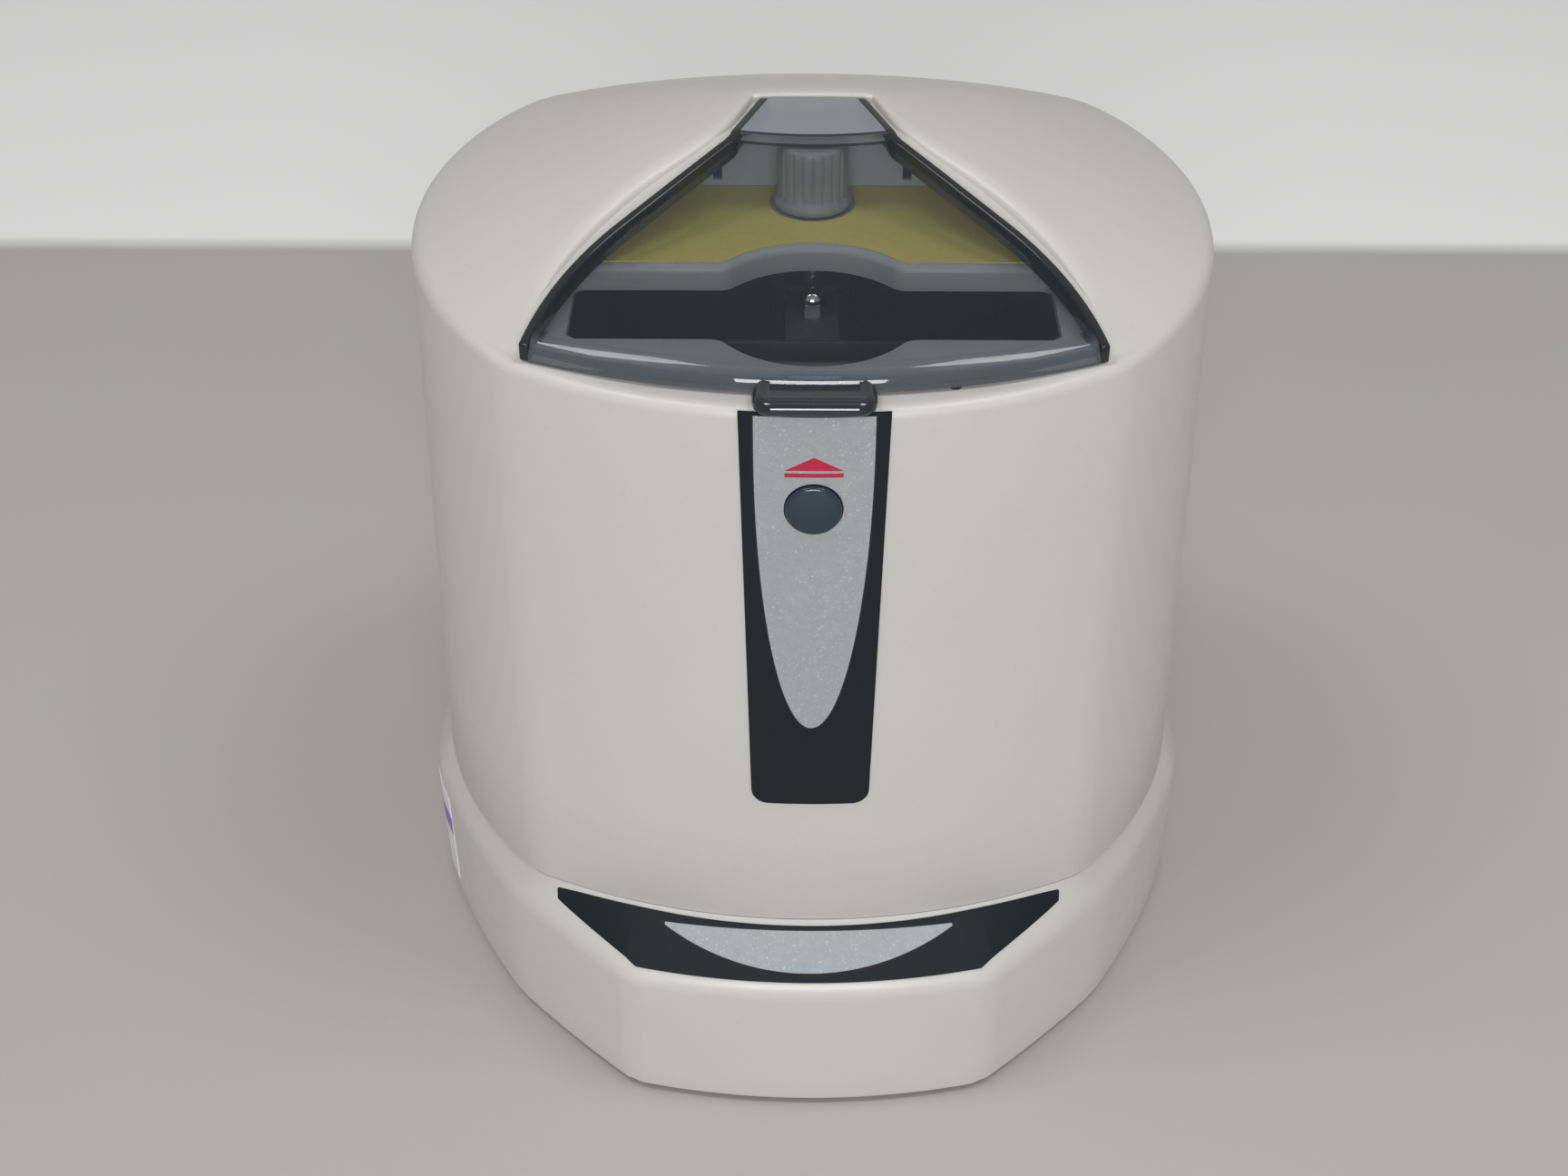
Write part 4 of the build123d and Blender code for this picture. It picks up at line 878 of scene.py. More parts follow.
@dataclass
class CaseShape:
    """The housing's outlines, its shoulder, and the strip that it leaves round the lid."""

    seam_z: float = 65.8
    edge_z: float = 256.0
    tilt: float = math.tan(math.radians(1.7))
    rim_z: float = 252.8
    wall: float = 3.0
    front_steps: int = 72
    side_steps: int = 72
    back_steps: int = 60
    low_front: Point = (126.1, 87.0, -111.8)
    high_front: Point = (121.4, 86.6, -111.2)
    low_back: Plan = (92.0, 101.0)
    high_back: Plan = (89.8, 98.2)
    front_circle: Plan = (45.5, 156.7)
    back_circle: Plan = (-154.4, 252.6)
    beyond: float = 400.0
    soft: float = 5.0
    dome_y: float = 5.0
    dome_rise: Point = (56.46, -30.07, 7.47)
    crest_z: float = 284.5
    ledge: tuple[Plan, ...] = ((81.8, -85.3), (78.8, -70.0), (66.4, -47.0), (50.8, -27.0), (27.5, -3.5),
                               (18.0, 21.0))

    def share_at(self, z: float) -> float:
        """How far up the wall a height is, from 0 at the seam to 1 at the edge."""
        return (z - self.seam_z) / (self.edge_z - self.seam_z)

    def front_at(self, z: float) -> tuple[float, float, float]:
        """The side radius, the front corner's x and the front's y at a height."""
        return between_points(self.low_front, self.high_front, self.share_at(z))

    def outline(self, z: float) -> list[Plan]:
        """The housing's plan at a height, counter-clockwise from the left front corner."""
        radius, front_x, front_y = self.front_at(z)
        back_x, back_y = between_points(self.low_back, self.high_back, self.share_at(z))
        front = (front_x, -math.sqrt(radius ** 2 - front_x ** 2))
        back = (back_x, math.sqrt(radius ** 2 - back_x ** 2))
        left_front, left_back = (-front[0], front[1]), (-back[0], back[1])
        points = arc(left_front, (0.0, front_y), front, self.front_steps)
        points += arc(front, (radius, 0.0), back, self.side_steps)
        points += arc(back, (0.0, back_y), left_back, self.back_steps)
        points += arc(left_back, (-radius, 0.0), left_front, self.side_steps)
        return eased(points, self.corners(), 1)

    def corners(self) -> list[int]:
        """The indices of an outline's four corners."""
        front, side = self.front_steps, self.front_steps + self.side_steps
        return [0, front, side, side + self.back_steps]

    def ring(self, side: Sequence[Plan], front_y: float) -> list[Plan]:
        """An outline with the housing's count of points, round the lid.

        Args:
            side: the right-hand line from its front corner to its rear one.
            front_y: how far forward the front arc comes.

        Returns:
            The outline, counter-clockwise from the left front corner.
        """
        corner, rear = side[0], side[-1]
        points = arc((-corner[0], corner[1]), (0.0, front_y), corner, self.front_steps)
        points += spread_along(side, self.side_steps)
        points += spread_along([rear, (-rear[0], rear[1])], self.back_steps)
        return points + spread_along(mirrored(side), self.side_steps)

    def shoulder(self, x: float, y: float) -> float:
        """The height of the shoulder over a plan point; near the front it comes down to the rim."""
        dx, dy = x, y - self.dome_y
        reach = math.hypot(dx, dy)
        ux, uy = dx / reach, dy / reach
        limits = [self._reach(ux, uy, 0.0, self.high_front[0])]
        limits.append(self._reach(ux, uy, *self.front_circle) if uy < 0 else self.beyond)
        limits.append(self._reach(ux, uy, *self.back_circle) if uy > 0 else self.beyond)
        nearest = min(limits)
        overlap = sum(math.exp((nearest - limit) / self.soft) for limit in limits)
        edge = nearest - self.soft * math.log(overlap)
        inward = max(0.0, 1.0 - reach / edge)
        rise = sum(part * inward ** (power + 1) for power, part in enumerate(self.dome_rise))
        dome = self.edge_z + rise + self.tilt * (1.0 - smooth_step(0.0, 0.3, inward)) * y
        dome -= 0.4 * max(0.0, dome - self.crest_z)
        return lerp(self.rim_z, dome, smooth_step(-98.0, -78.0, y))

    def _reach(self, ux: float, uy: float, centre_y: float, radius: float) -> float:
        """How far a ray from the dome's centre runs before it meets a circle."""
        offset = self.dome_y - centre_y
        along = offset * uy
        return -along + math.sqrt(along * along - offset * offset + radius * radius)

    def strip(self, x: float, y: float) -> float:
        """The height of the strip round the lid."""
        return min(self.shoulder(x, y), LID.height(x, y) - LID.thick)


LID = LidShape()
CASE = CaseShape()


# ---------- case
@dataclass
class Housing:
    """The upper housing: wall, shoulder, the strip round the lid, and the skin behind them."""

    foot_round: float = 0.7
    edge_round: float = 3.6
    shoulder_rings: int = 14
    roll: float = 5.0
    gap: float = 0.8
    front_gap: float = 3.7
    rear_y: float = 20.8
    strip_thick: float = 3.3
    pad: Box = ((-17.0, -110.0, 211.0), (17.0, -107.2, 242.0))
    hook_slot: Box = ((-9.5, -104.2, 245.0), (9.5, -98.0, 256.0))
    pin_space: Box = ((-17.7, 12.0, 240.0), (17.7, 20.8, 300.0))
    peg: Point = (38.0, -97.35, 250.3)
    peg_hole: float = 1.75

    def build(self) -> None:
        """Lofts the shell, adds the pad behind the button and cuts the openings."""
        piece = Bench.loft("housing_shell", self._rings(), loop=True)
        Bench.cut(piece, Bench.block("pad", *self.pad), "UNION")
        Bench.cut(piece, Bench.rod("hole", (0.0, -110.0, BUTTON_Z), BUTTON_HOLE, 20.0, "Y", 64))
        Bench.cut(piece, Bench.block("slot", *self.hook_slot))
        Bench.cut(piece, Bench.rod("peg", self.peg, self.peg_hole, 11.0, sides=30))
        Bench.cut(piece, Bench.block("rear", *self.pin_space))
        Bench.smooth(piece, 30.0)
        dress(piece, "housing", "case", "housing_plastic", "upper_housing")

    def _rings(self) -> list[list[Point]]:
        """The closed run of outlines: up the outside, over to the lid, and back inside."""
        top = CASE.outline(CASE.edge_z)
        inner = outward(top, [-self.edge_round] * len(top))
        ledge = CASE.ring(curve_through(CASE.ledge, 120), LID.front_y + 0.2)
        rolls = [self._roll_at(y) for _, y in ledge]
        outer = outward(ledge, rolls)
        rings = self._outside(inner)
        for step in range(1, self.shoulder_rings + 1):
            rings.append(raised(mixed(inner, outer, step / self.shoulder_rings), CASE.shoulder))
        rings += self._rim(ledge, rolls)
        rings += self._inside(inner, outer)
        return rings + [rings[0]]

    def _roll_at(self, y: float) -> float:
        """How wide the shoulder's roll into the strip is, which fades at both ends."""
        return self.roll * smooth_step(30.0, -20.0, y) * smooth_step(-88.0, -66.0, y) + 0.5

    def _wall(self, height_of: Callable[[float], float], inset: float = 0.0) -> list[Point]:
        """The wall's outline, each of whose heights is worked out from the shoulder's there."""
        plan, heights = [], []
        for low, high in zip(CASE.outline(CASE.seam_z), CASE.outline(CASE.edge_z)):
            heights.append(height_of(CASE.shoulder(*high)))
            plan.append(between_points(low, high, CASE.share_at(heights[-1])))
        if inset:
            plan = outward(plan, [-inset] * len(plan))
        return [(x, y, z) for (x, y), z in zip(plan, heights)]

    def _outside(self, inner: Sequence[Plan]) -> list[list[Point]]:
        """The outlines from the foot up the wall and round the upper edge."""
        low = CASE.seam_z
        rings = [self._wall(lambda edge: low, self.foot_round), self._wall(lambda edge: low + 0.2, 0.2),
                 self._wall(lambda edge: low + self.foot_round)]
        for share in (0.2, 0.4, 0.6, 0.8):
            rings.append(self._wall(lambda edge: lerp(low + self.foot_round, edge - self.edge_round, share)))
        start, corner = self._wall(lambda edge: edge - self.edge_round), self._wall(lambda edge: edge)
        return rings + bent(start, corner, raised(inner, CASE.shoulder), 6)

    def _rim(self, ledge: Sequence[Plan], rolls: Sequence[float]) -> list[list[Point]]:
        """The outlines that roll over into the strip round the lid and cross it."""
        rings = []
        for share in (0.75, 0.5, 0.3, 0.14, 0.04):
            plan = outward(ledge, [roll * share for roll in rolls])
            round_off = 1 - math.sqrt(1 - (1 - share) ** 2)
            ring = []
            for (x, y), foot in zip(plan, ledge):
                drop = (CASE.shoulder(x, y) - CASE.strip(*foot)) * round_off
                ring.append((x, y, CASE.shoulder(x, y) - drop))
            rings.append(ring)
        side = LID.side_line(self.gap, self.front_gap, self.rear_y)
        strip = raised(CASE.ring(side, LID.front_y + self.front_gap), CASE.strip)
        return rings + [raised(ledge, CASE.strip), strip, [(x, y, z - self.strip_thick) for x, y, z in strip]]

    def _inside(self, inner: Sequence[Plan], outer: Sequence[Plan]) -> list[list[Point]]:
        """The outlines of the skin behind the shoulder and the wall."""
        rings = []
        for share in (0.5, 0.1):
            plan = mixed(inner, outer, share)
            rings.append([(x, y, z - CASE.wall) for x, y, z in raised(plan, CASE.shoulder)])
        rings.append(self._wall(lambda edge: edge - self.edge_round - CASE.wall, CASE.wall))
        rings.append(self._wall(lambda edge: CASE.seam_z, CASE.wall))
        return rings


@dataclass
class Base:
    """The lower case: bevelled front flanks, a soft shoulder and a sloped ledge."""

    foot_z: float = 2.0
    shoulder_z: float = 52.0
    wall: float = 3.0
    edge_round: float = 4.2
    foot_round: float = 1.2
    front_y: float = -130.0
    back_y: float = 107.0
    side_y: float = -22.0
    corner_x: float = 52.0
    bulge: float = 0.6
    steps: tuple[int, ...] = (44, 20, 26, 44, 44)
    backing_z: Plan = (9.0, 47.0)
    backing: tuple[Plan, ...] = ((-39.0, 98.5), (39.0, 98.5), (39.0, 102.6), (20.0, 104.6), (0.0, 105.3),
                                 (-20.0, 104.6), (-39.0, 102.6))
    pocket: Box = ((-36.0, 101.5, 12.0), (36.0, 115.0, 44.0))
    inlet_hole: Box = ((-26.5, 90.0, 21.5), (-13.5, 110.0, 34.5))
    rocker_hole: Box = ((10.0, 90.0, 16.5), (26.0, 110.0, 39.5))

    def build(self) -> None:
        """Lofts the shell and sinks the pocket for the rear panel into it."""
        piece = Bench.loft("base_housing", self._rings(), loop=True)
        levels = [at_height(self.backing, z) for z in self.backing_z]
        Bench.cut(piece, Bench.loft("backing", levels, caps=True), "UNION")
        for name, box in (("pocket", self.pocket), ("inlet", self.inlet_hole), ("rocker", self.rocker_hole)):
            Bench.cut(piece, Bench.block(name, *box))
        Bench.smooth(piece, 30.0)
        dress(piece, "base", "case", "base_plastic", "base_shell")

    def _outline(self, z: float, inset: float = 0.0) -> list[Plan]:
        """The base's plan at a height."""
        grow = 0.9 * (z - self.foot_z) / (self.shoulder_z - self.foot_z) - inset
        corner = (57.1 + 0.3 * grow, -122.9 - grow)
        flank = (97.7 + 0.75 * grow, -83.8 - 0.66 * grow)
        rear = (97.0 + 0.7 * grow, 88.5 + 0.7 * grow)
        side, middle = (129.3 + grow, self.side_y), (131.2 + grow, 5.0)
        return self._round((corner, flank, side, middle, rear), self.front_y + inset, self.back_y - inset,
                           True)

    def _foot_outline(self, inset: float = 0.0) -> list[Plan]:
        """The housing's foot line, split where the base's outline has its corners."""
        radius, front_x, front_y = CASE.low_front
        rear_x, rear_y = CASE.low_back
        radius, front_y = radius - inset, front_y + inset
        front_x, rear_x = front_x - 0.8 * inset, rear_x - 0.8 * inset
        flank = (front_x, -math.sqrt(radius ** 2 - front_x ** 2))
        corner = (self.corner_x, arc_y(flank, front_y, self.corner_x))
        side = (math.sqrt(radius ** 2 - self.side_y ** 2), self.side_y)
        rear = (rear_x, math.sqrt(radius ** 2 - rear_x ** 2))
        return self._round((corner, flank, side, (radius, 0.0), rear), front_y, rear_y - inset, False)

    def _round(self, right: Sequence[Plan], front_y: float, back_y: float, crisp: bool) -> list[Plan]:
        """Samples the eight arcs of an outline through its right-hand corner points."""
        corner, flank, side, middle, rear = right
        front, near, far, flankside, back = self.steps
        near_mid = ((corner[0] + flank[0]) / 2 + self.bulge, (corner[1] + flank[1]) / 2 - self.bulge)
        far_mid = ((flank[0] + side[0]) / 2 + 3 * self.bulge, (flank[1] + side[1]) / 2 - 2 * self.bulge)
        legs = [(corner, near_mid, flank, near), (flank, far_mid, side, far), (side, middle, rear, flankside)]
        points = arc((-corner[0], corner[1]), (0.0, front_y), corner, front)
        for start, mid, end, count in legs:
            points += arc(start, mid, end, count)
        points += arc(rear, (0.0, back_y), (-rear[0], rear[1]), back)
        for start, mid, end, count in reversed(legs):
            points += arc((-end[0], end[1]), (-mid[0], mid[1]), (-start[0], start[1]), count)
        marks = [0]
        for count in (front, near, far, flankside, back, flankside, far):
            marks.append(marks[-1] + count)
        return eased(points, marks, 1) if crisp else points

    def rulings(self) -> list[tuple[Point, Point]]:
        """The lines that run up the ledge, from the left flank round the front to the right one."""
        outer = at_height(self._outline(self.shoulder_z), self.shoulder_z)
        inner = at_height(self._foot_outline(), CASE.seam_z)
        front, near = self.steps[:2]
        order = list(range(-near, front + near + 1))
        result = []
        for one, two in zip(order, order[1:]):
            for share in (0.0, 0.25, 0.5, 0.75):
                result.append((between_points(outer[one], outer[two], share),
                               between_points(inner[one], inner[two], share)))
        return result

    def left_line(self, z: float) -> list[Plan]:
        """The left-hand side at a height, densely sampled from the back to the front."""
        points = self._outline(z)
        near, far = self.steps[1:3]
        line = points[len(points) - near - far - 30:len(points) - near + 1]
        return spread_along(line, 400)

    def _rings(self) -> list[list[Point]]:
        """The closed run of outlines: up the outside, up the ledge and back inside."""
        foot = self._outline(self.foot_z)
        start = at_height(outward(foot, [-self.foot_round] * len(foot)), self.foot_z)
        rings = bent(start, self._level(self.foot_z), at_height(foot, self.foot_z + self.foot_round), 3)
        rings += [self._level(z) for z in (12.0, 24.0, 36.0)]
        corner = self._level(self.shoulder_z)
        rim = at_height(self._foot_outline(), CASE.seam_z)
        high = [between_points(one, two, self.edge_round / math.dist(one, two))
                for one, two in zip(corner, rim)]
        rings += bent(self._level(self.shoulder_z - self.edge_round), corner, high, 6)
        rings += [mixed(high, rim, share) for share in (0.33, 0.66)] + [rim]
        behind = self._foot_outline(self.wall + 0.2)
        rings += [at_height(behind, CASE.seam_z), at_height(behind, CASE.seam_z - 4.0)]
        rings.append(at_height(self._outline(self.shoulder_z, self.wall), self.shoulder_z - 2.2))
        rings.append(at_height(self._outline(self.foot_z, self.wall), self.foot_z))
        return rings + [start]

    def _level(self, z: float) -> list[Point]:
        """The base's outline at a height."""
        return at_height(self._outline(z), z)


# ---------- lid
@dataclass
class Lid:
    """The smoked window with its bent-down front, the black side trims and the finger tab."""

    columns: int = 72
    bend_round: float = 7.0
    crease_depth: float = 0.3
    trim_deep: float = 6.0
    stations: int = 60
    tab_low: Plan = (-16.75, -115.4)
    tab_high: Plan = (16.75, -101.0)
    tab_corner: float = 5.6
    tab_levels: tuple[Plan, ...] = ((253.85, 1.1), (254.0, 0.5), (254.5, 0.1), (255.2, 0.0), (256.0, 0.15),
                                    (256.8, 0.6), (257.4, 1.3), (257.7, 2.2), (257.6, 3.0), (257.3, 3.8))
    tab_seat: Box = ((-12.0, -107.4, 256.2), (12.0, -100.0, 262.0))
    space_corner: Plan = (20.0, -102.0)
    space_back: float = -90.0
    space_z: Plan = (250.0, 262.0)

    def build(self) -> None:
        """Builds the window, both trims and the tab."""
        self._window()
        self._trim(1)
        self._trim(-1)
        self._tab()

    def _row(self, corner: Plan, middle_y: float) -> list[Plan]:
        """One row of the window, from left to right."""
        points = arc((-corner[0], corner[1]), (0.0, middle_y - 1e-4), corner, self.columns)
        return points + [corner]

    def _window(self) -> None:
        """Lays the sheet row by row, then gives it its thickness."""
        line = LID.side_line(-LID.trim, self.bend_round)
        line = spread_along(line, 240) + [line[-1]]
        crease_at = next(i for i, p in enumerate(line) if math.hypot(p[0], p[1] - LID.cone_y) < LID.flat_rho)
        flat, cone = list(reversed(line[crease_at:])), list(reversed(line[:crease_at]))
        crease_y = LID.cone_y - LID.flat_rho
        front_y = LID.front_y + self.bend_round
        rings = []
        flat_line = spread_along(flat, 8)
        for x, y in flat_line:
            share = (flat[0][1] - y) / (flat[0][1] - flat[-1][1] + 0.6)
            row = self._row((x, y), lerp(LID.rear_y, crease_y, share))
            rings.append(raised(row, LID.height))
        x, y = flat[-1]
        for shift, drop in ((0.7, 0.0), (0.25, self.crease_depth), (-0.25, self.crease_depth), (-0.7, 0.0)):
            row = self._row((x - shift * 0.4, y + shift), crease_y + shift)
            rings.append([(px, py, pz - drop) for px, py, pz in raised(row, LID.height)])
        cone_line = spread_along([(x + 0.5, y - 1.2)] + cone, 46) + [cone[-1]]
        for x, y in cone_line:
            share = (cone_line[0][1] - y) / (cone_line[0][1] - cone_line[-1][1])
            row = self._row((x, y), lerp(crease_y - 1.5, front_y, share))
            rings.append(raised(row, LID.height))
        start = rings.pop()
        corner = raised(self._row(LID.side_line(-LID.trim)[0], LID.front_y), LID.height)
        end = [(px, py, max(LID.lip_z + 0.1, pz - self.bend_round)) for px, py, pz in corner]
        rings += bent(start, corner, end, 11)
        rings.append([(px, py, LID.lip_z) for px, py, _ in corner])
        piece = Bench.sheet("lid_glazing", rings)
        Bench.thicken(piece, LID.thick, even=True)
        Bench.bevel(piece, 0.35, 2, 55.0)
        Bench.smooth(piece, 40.0)
        dress(piece, "lid", "lid", "smoked_lid", "lid_window")

    def _trim(self, side: int) -> None:
        """Sweeps the black edge strip along one side."""
        outer, inner = (spread_along(line, self.stations) + [line[-1]]
                        for line in (LID.side_line(), LID.side_line(-LID.trim)))
        rings = []
        for out, within in zip(outer, inner):
            ring = raised([out, within, within, out], LID.height)
            ring[2:] = [(x, y, max(LID.lip_z, z - self.trim_deep)) for x, y, z in ring[2:]]
            rings.append([(side * x, y, z) for x, y, z in ring])
        name = "right" if side > 0 else "left"
        piece = Bench.loft("lid_edge_" + name, rings, caps=True)
        Bench.bevel(piece, 0.5, 3, 50.0)
        Bench.smooth(piece, 40.0)
        dress(piece, "gloss_black", "lid", "black_gloss", "lid_side_trim_" + name)

    def _tab(self) -> None:
        """Lofts the finger tab as a pill with a rounded rim, and sinks its slot."""
        rings = [at_height(self._pill(inset), z) for z, inset in self.tab_levels]
        piece = Bench.loft("lid_finger_tab", rings, caps=True)
        Bench.cut(piece, Bench.block("seat", *self.tab_seat))
        space = [at_height(self._space(), z) for z in self.space_z]
        Bench.cut(piece, Bench.loft("lid_space", space, caps=True))
        Bench.smooth(piece, 45.0)
        dress(piece, "tab", "lid", "black_gloss", "finger_tab")

    def _pill(self, inset: float) -> list[Plan]:
        """The tab's plan, a rounded rectangle."""
        corner = self.tab_corner - inset * 0.8
        left, front = (side + inset + corner for side in self.tab_low)
        right, back = self.tab_high[0] - inset - corner, self.tab_high[1] - corner
        points = []
        for turn, (x, y) in enumerate(((right, front), (right, back), (left, back), (left, front))):
            for step in range(13):
                angle = math.radians(90.0 * (turn - 1) + 7.5 * step)
                points.append((x + corner * math.cos(angle), y + corner * math.sin(angle)))
        return points

    def _space(self) -> list[Plan]:
        """The plan of the space that the lid's own front fills."""
        x, y = self.space_corner[0], self.space_back
        return self._row(self.space_corner, LID.front_y - 0.02) + [(x, y), (-x, y)]


# ---------- button, labels and marks
@dataclass
class OpenButton:
    """The round button that lets the lid up."""

    sides: int = 72
    profile: tuple[Plan, ...] = ((3.0, -105.25), (3.0, -110.0), (6.9, -110.0), (7.6, -109.2), (7.8, -109.5),
                                 (7.8, -112.4), (7.65, -112.9), (7.3, -113.2), (6.8, -113.35), (5.6, -113.55),
                                 (3.8, -113.75), (1.8, -113.88), (0.5, -113.9))

    def build(self) -> None:
        """Turns the cap about its own axis, stem first."""
        turns = [math.tau * side / self.sides for side in range(self.sides)]
        rings = [[(radius * math.cos(turn), y, BUTTON_Z + radius * math.sin(turn)) for turn in turns]
                 for radius, y in self.profile]
        piece = Bench.loft("button_cap", rings, caps=True)
        Bench.smooth(piece, 40.0)
        dress(piece, "button", "button", "button_slate", "open_button")


@dataclass
class WallFilm:
    """A film on the housing's front, as wide at each height as its outline says."""

    name: str
    half_at: Callable[[float], float]
    low: float
    high: float
    proud: float
    rows: int = 70
    columns: int = 16
    thick: float = 0.55

    def build(self) -> Piece:
        """Lays the sheet down the wall, closer spaced towards its lower end."""
        rows = []
        for step in range(self.rows + 1):
            z = lerp(self.high, self.low, math.sin(math.pi / 2 * step / self.rows))
            half = self.half_at(z)
            xs = [half * (2.0 * column / self.columns - 1.0) for column in range(self.columns + 1)]
            rows.append([(x, self.wall_y(x, z) - self.proud, z) for x in xs])
        piece = Bench.sheet(self.name, rows)
        Bench.thicken(piece, self.thick)
        return piece

    @staticmethod
    def wall_y(x: float, z: float) -> float:
        """How far forward the housing's front is at a place."""
        radius, corner_x, front_y = CASE.front_at(z)
        return arc_y((corner_x, -math.sqrt(radius ** 2 - corner_x ** 2)), front_y, x)


@dataclass
class LedgeFilm:
    """A film on the base's sloped ledge, between an upper and a lower plan arc."""

    name: str
    tip: Plan
    upper_y: float
    lower_y: float
    proud: float
    corner: Optional[Plan] = None
    rows: int = 12
    thick: float = 0.5

    def build(self) -> Piece:
        """Clips each line that runs up the ledge and lays the sheet across them."""
        strips = []
        for outer, inner in Base().rulings():
            line = [between_points(outer, inner, step / 60) for step in range(61)]
            if sum(self._inside(point[:2]) for point in line) < 2:
                continue
            kept = clipped([point[:2] for point in line], self._inside)
            ends = [math.dist(outer[:2], kept[index]) / math.dist(outer[:2], inner[:2]) for index in (0, -1)]
            strips.append([between_points(outer, inner, lerp(ends[1], ends[0], step / self.rows))
                           for step in range(self.rows + 1)])
        rows = [[(x, y, z + self.proud) for x, y, z in row] for row in zip(*strips)]
        piece = Bench.sheet(self.name, rows)
        Bench.thicken(piece, self.thick)
        return piece

    def _inside(self, point: Plan) -> bool:
        """Whether a plan point is within the film's outline."""
        tip = (-self.tip[0], self.tip[1])
        centre, radius = circle_through(tip, (0.0, self.upper_y), self.tip)
        if math.dist(point, centre) < radius:
            return False
        corner = self.corner or self.tip
        centre, radius = circle_through((-corner[0], corner[1]), (0.0, self.lower_y), corner)
        if math.dist(point, centre) > radius:
            return False
        if self.corner:
            x = abs(point[0]) - corner[0]
            slope = (self.tip[1] - 0.4 - corner[1]) / (self.tip[0] + 1.6 - corner[0])
            return point[1] > corner[1] + slope * x and abs(point[0]) < self.tip[0] + 0.6
        return True


@dataclass
class Markings:
    """Label films and the plain printed marks on them."""

    icon_z: float = 232.7
    icon_half: float = 8.0
    icon_proud: float = 0.56
    strip_z: Plan = (115.0, 252.6)
    strip_half: Plan = (17.6, 20.65)
    strip_tall: float = 142.8
    strip_corner: float = 5.0
    inlay_half: float = 16.4
    inlay_widest: float = 243.0
    inlay_drop: float = 98.1
    line_width: float = 0.6
    ink: float = 0.1
    sticker_y: Plan = (-34.0, -6.0)

    def build(self) -> None:
        """Lays every film."""
        self._front()
        self._ledge()
        self._side()
        self._deck()
        self._icon()

    def _front(self) -> None:
        """The tapered strip down the front, its silver inlay and the line round that."""
        films = ((WallFilm("front_film", self._strip, *self.strip_z, 0.46), "slate",
                  "label_slate", ["front_label"]),
                 (WallFilm("front_film_line", lambda z: self._inlay(z, self.line_width), 144.4, 251.8, 0.49,
                           thick=self.ink), "ink", "label_slate", []),
                 (WallFilm("front_inlay_film", self._inlay, 144.95, 251.6, 0.52, thick=self.ink), "silver",
                  "label_silver", ["front_label_inlay"]))
        pieces = [film.build() for film, *_ in films]
        for piece, (_, finish, slot, nodes) in zip(pieces, films):
            Bench.cut(piece, Bench.rod("hole", (0.0, -112.0, BUTTON_Z), BUTTON_HOLE, 20.0, "Y", 96))
            Bench.smooth(piece, 30.0)
            dress(piece, finish, "case", slot, *nodes)

    def _strip(self, z: float) -> float:
        """The strip's half width, with round lower corners."""
        up = z - self.strip_z[0]
        rest = max(0.0, self.strip_corner - up)
        round_off = self.strip_corner - math.sqrt(self.strip_corner ** 2 - rest * rest)
        return lerp(*self.strip_half, up / self.strip_tall) - round_off

    def _inlay(self, z: float, grow: float = 0.0) -> float:
        """The inlay's half width: a long half ellipse, then straight."""
        drop = max(0.0, self.inlay_widest - z) / (self.inlay_drop + grow)
        return (self.inlay_half + grow) * math.sqrt(max(0.0004, 1.0 - drop * drop))

    def _ledge(self) -> None:
        """The crescent along the foot of the housing, its lens and the line round that."""
        films = ((LedgeFilm("base_film", (80.4, -95.2), -113.6, -127.8, 0.44, (54.5, -121.4)), "slate",
                  "label_slate", ["base_label"]),
                 (LedgeFilm("base_film_line", (48.4, -109.7), -114.3, -126.0, 0.47, thick=self.ink), "ink",
                  "label_slate", []),
                 (LedgeFilm("base_inlay_film", (47.0, -110.2), -114.9, -125.5, 0.5, thick=self.ink), "silver",
                  "label_silver", ["base_label_inlay"]))
        for film, finish, slot, nodes in films:
            piece = film.build()
            Bench.smooth(piece, 30.0)
            dress(piece, finish, "case", slot, *nodes)

    def _side(self) -> None:
        """The blank sticker on the base's left side, with a lilac band."""
        front, back = self.sticker_y
        for name, heights, thick, finish, nodes in (
                ("side_sticker", (8.0, 46.0), 0.3, "white", ["side_label"]),
                ("side_sticker_band", (29.0, 37.0), 0.34, "lilac", [])):
            rings = []
            for z in heights:
                line = [point for point in Base().left_line(z) if front <= point[1] <= back]
                rings.append(at_height(shifted(line, thick) + list(reversed(shifted(line, -0.2))), z))
            piece = Bench.loft(name, rings, caps=True)
            Bench.smooth(piece, 30.0)
            dress(piece, finish, "case", "label_white", *nodes)

    def _deck(self) -> None:
        """The yellow film on the deck, round the knob and the finger notch."""
        piece = Bench.copy_of("deck_label", "deck_film")
        Bench.smooth(piece, 30.0)
        dress(piece, "yellow", "case", "label_yellow", "deck_label")

    def _icon(self) -> None:
        """An eject mark: a triangle over a bar, printed in red."""
        low, top, tip = self.icon_z + 2.1, self.icon_z + 6.2, 0.3
        bar = WallFilm("mark_bar", lambda z: self.icon_half, self.icon_z, self.icon_z + 1.3,
                       self.icon_proud, 2, thick=self.ink)
        wedge = WallFilm("mark_wedge", lambda z: tip + (self.icon_half - tip) * (top - z) / 4.1, low, top,
                         self.icon_proud, 12, thick=self.ink)
        piece = Bench.join("open_mark", [bar.build(), wedge.build()])
        dress(piece, "red", "case", "label_silver")


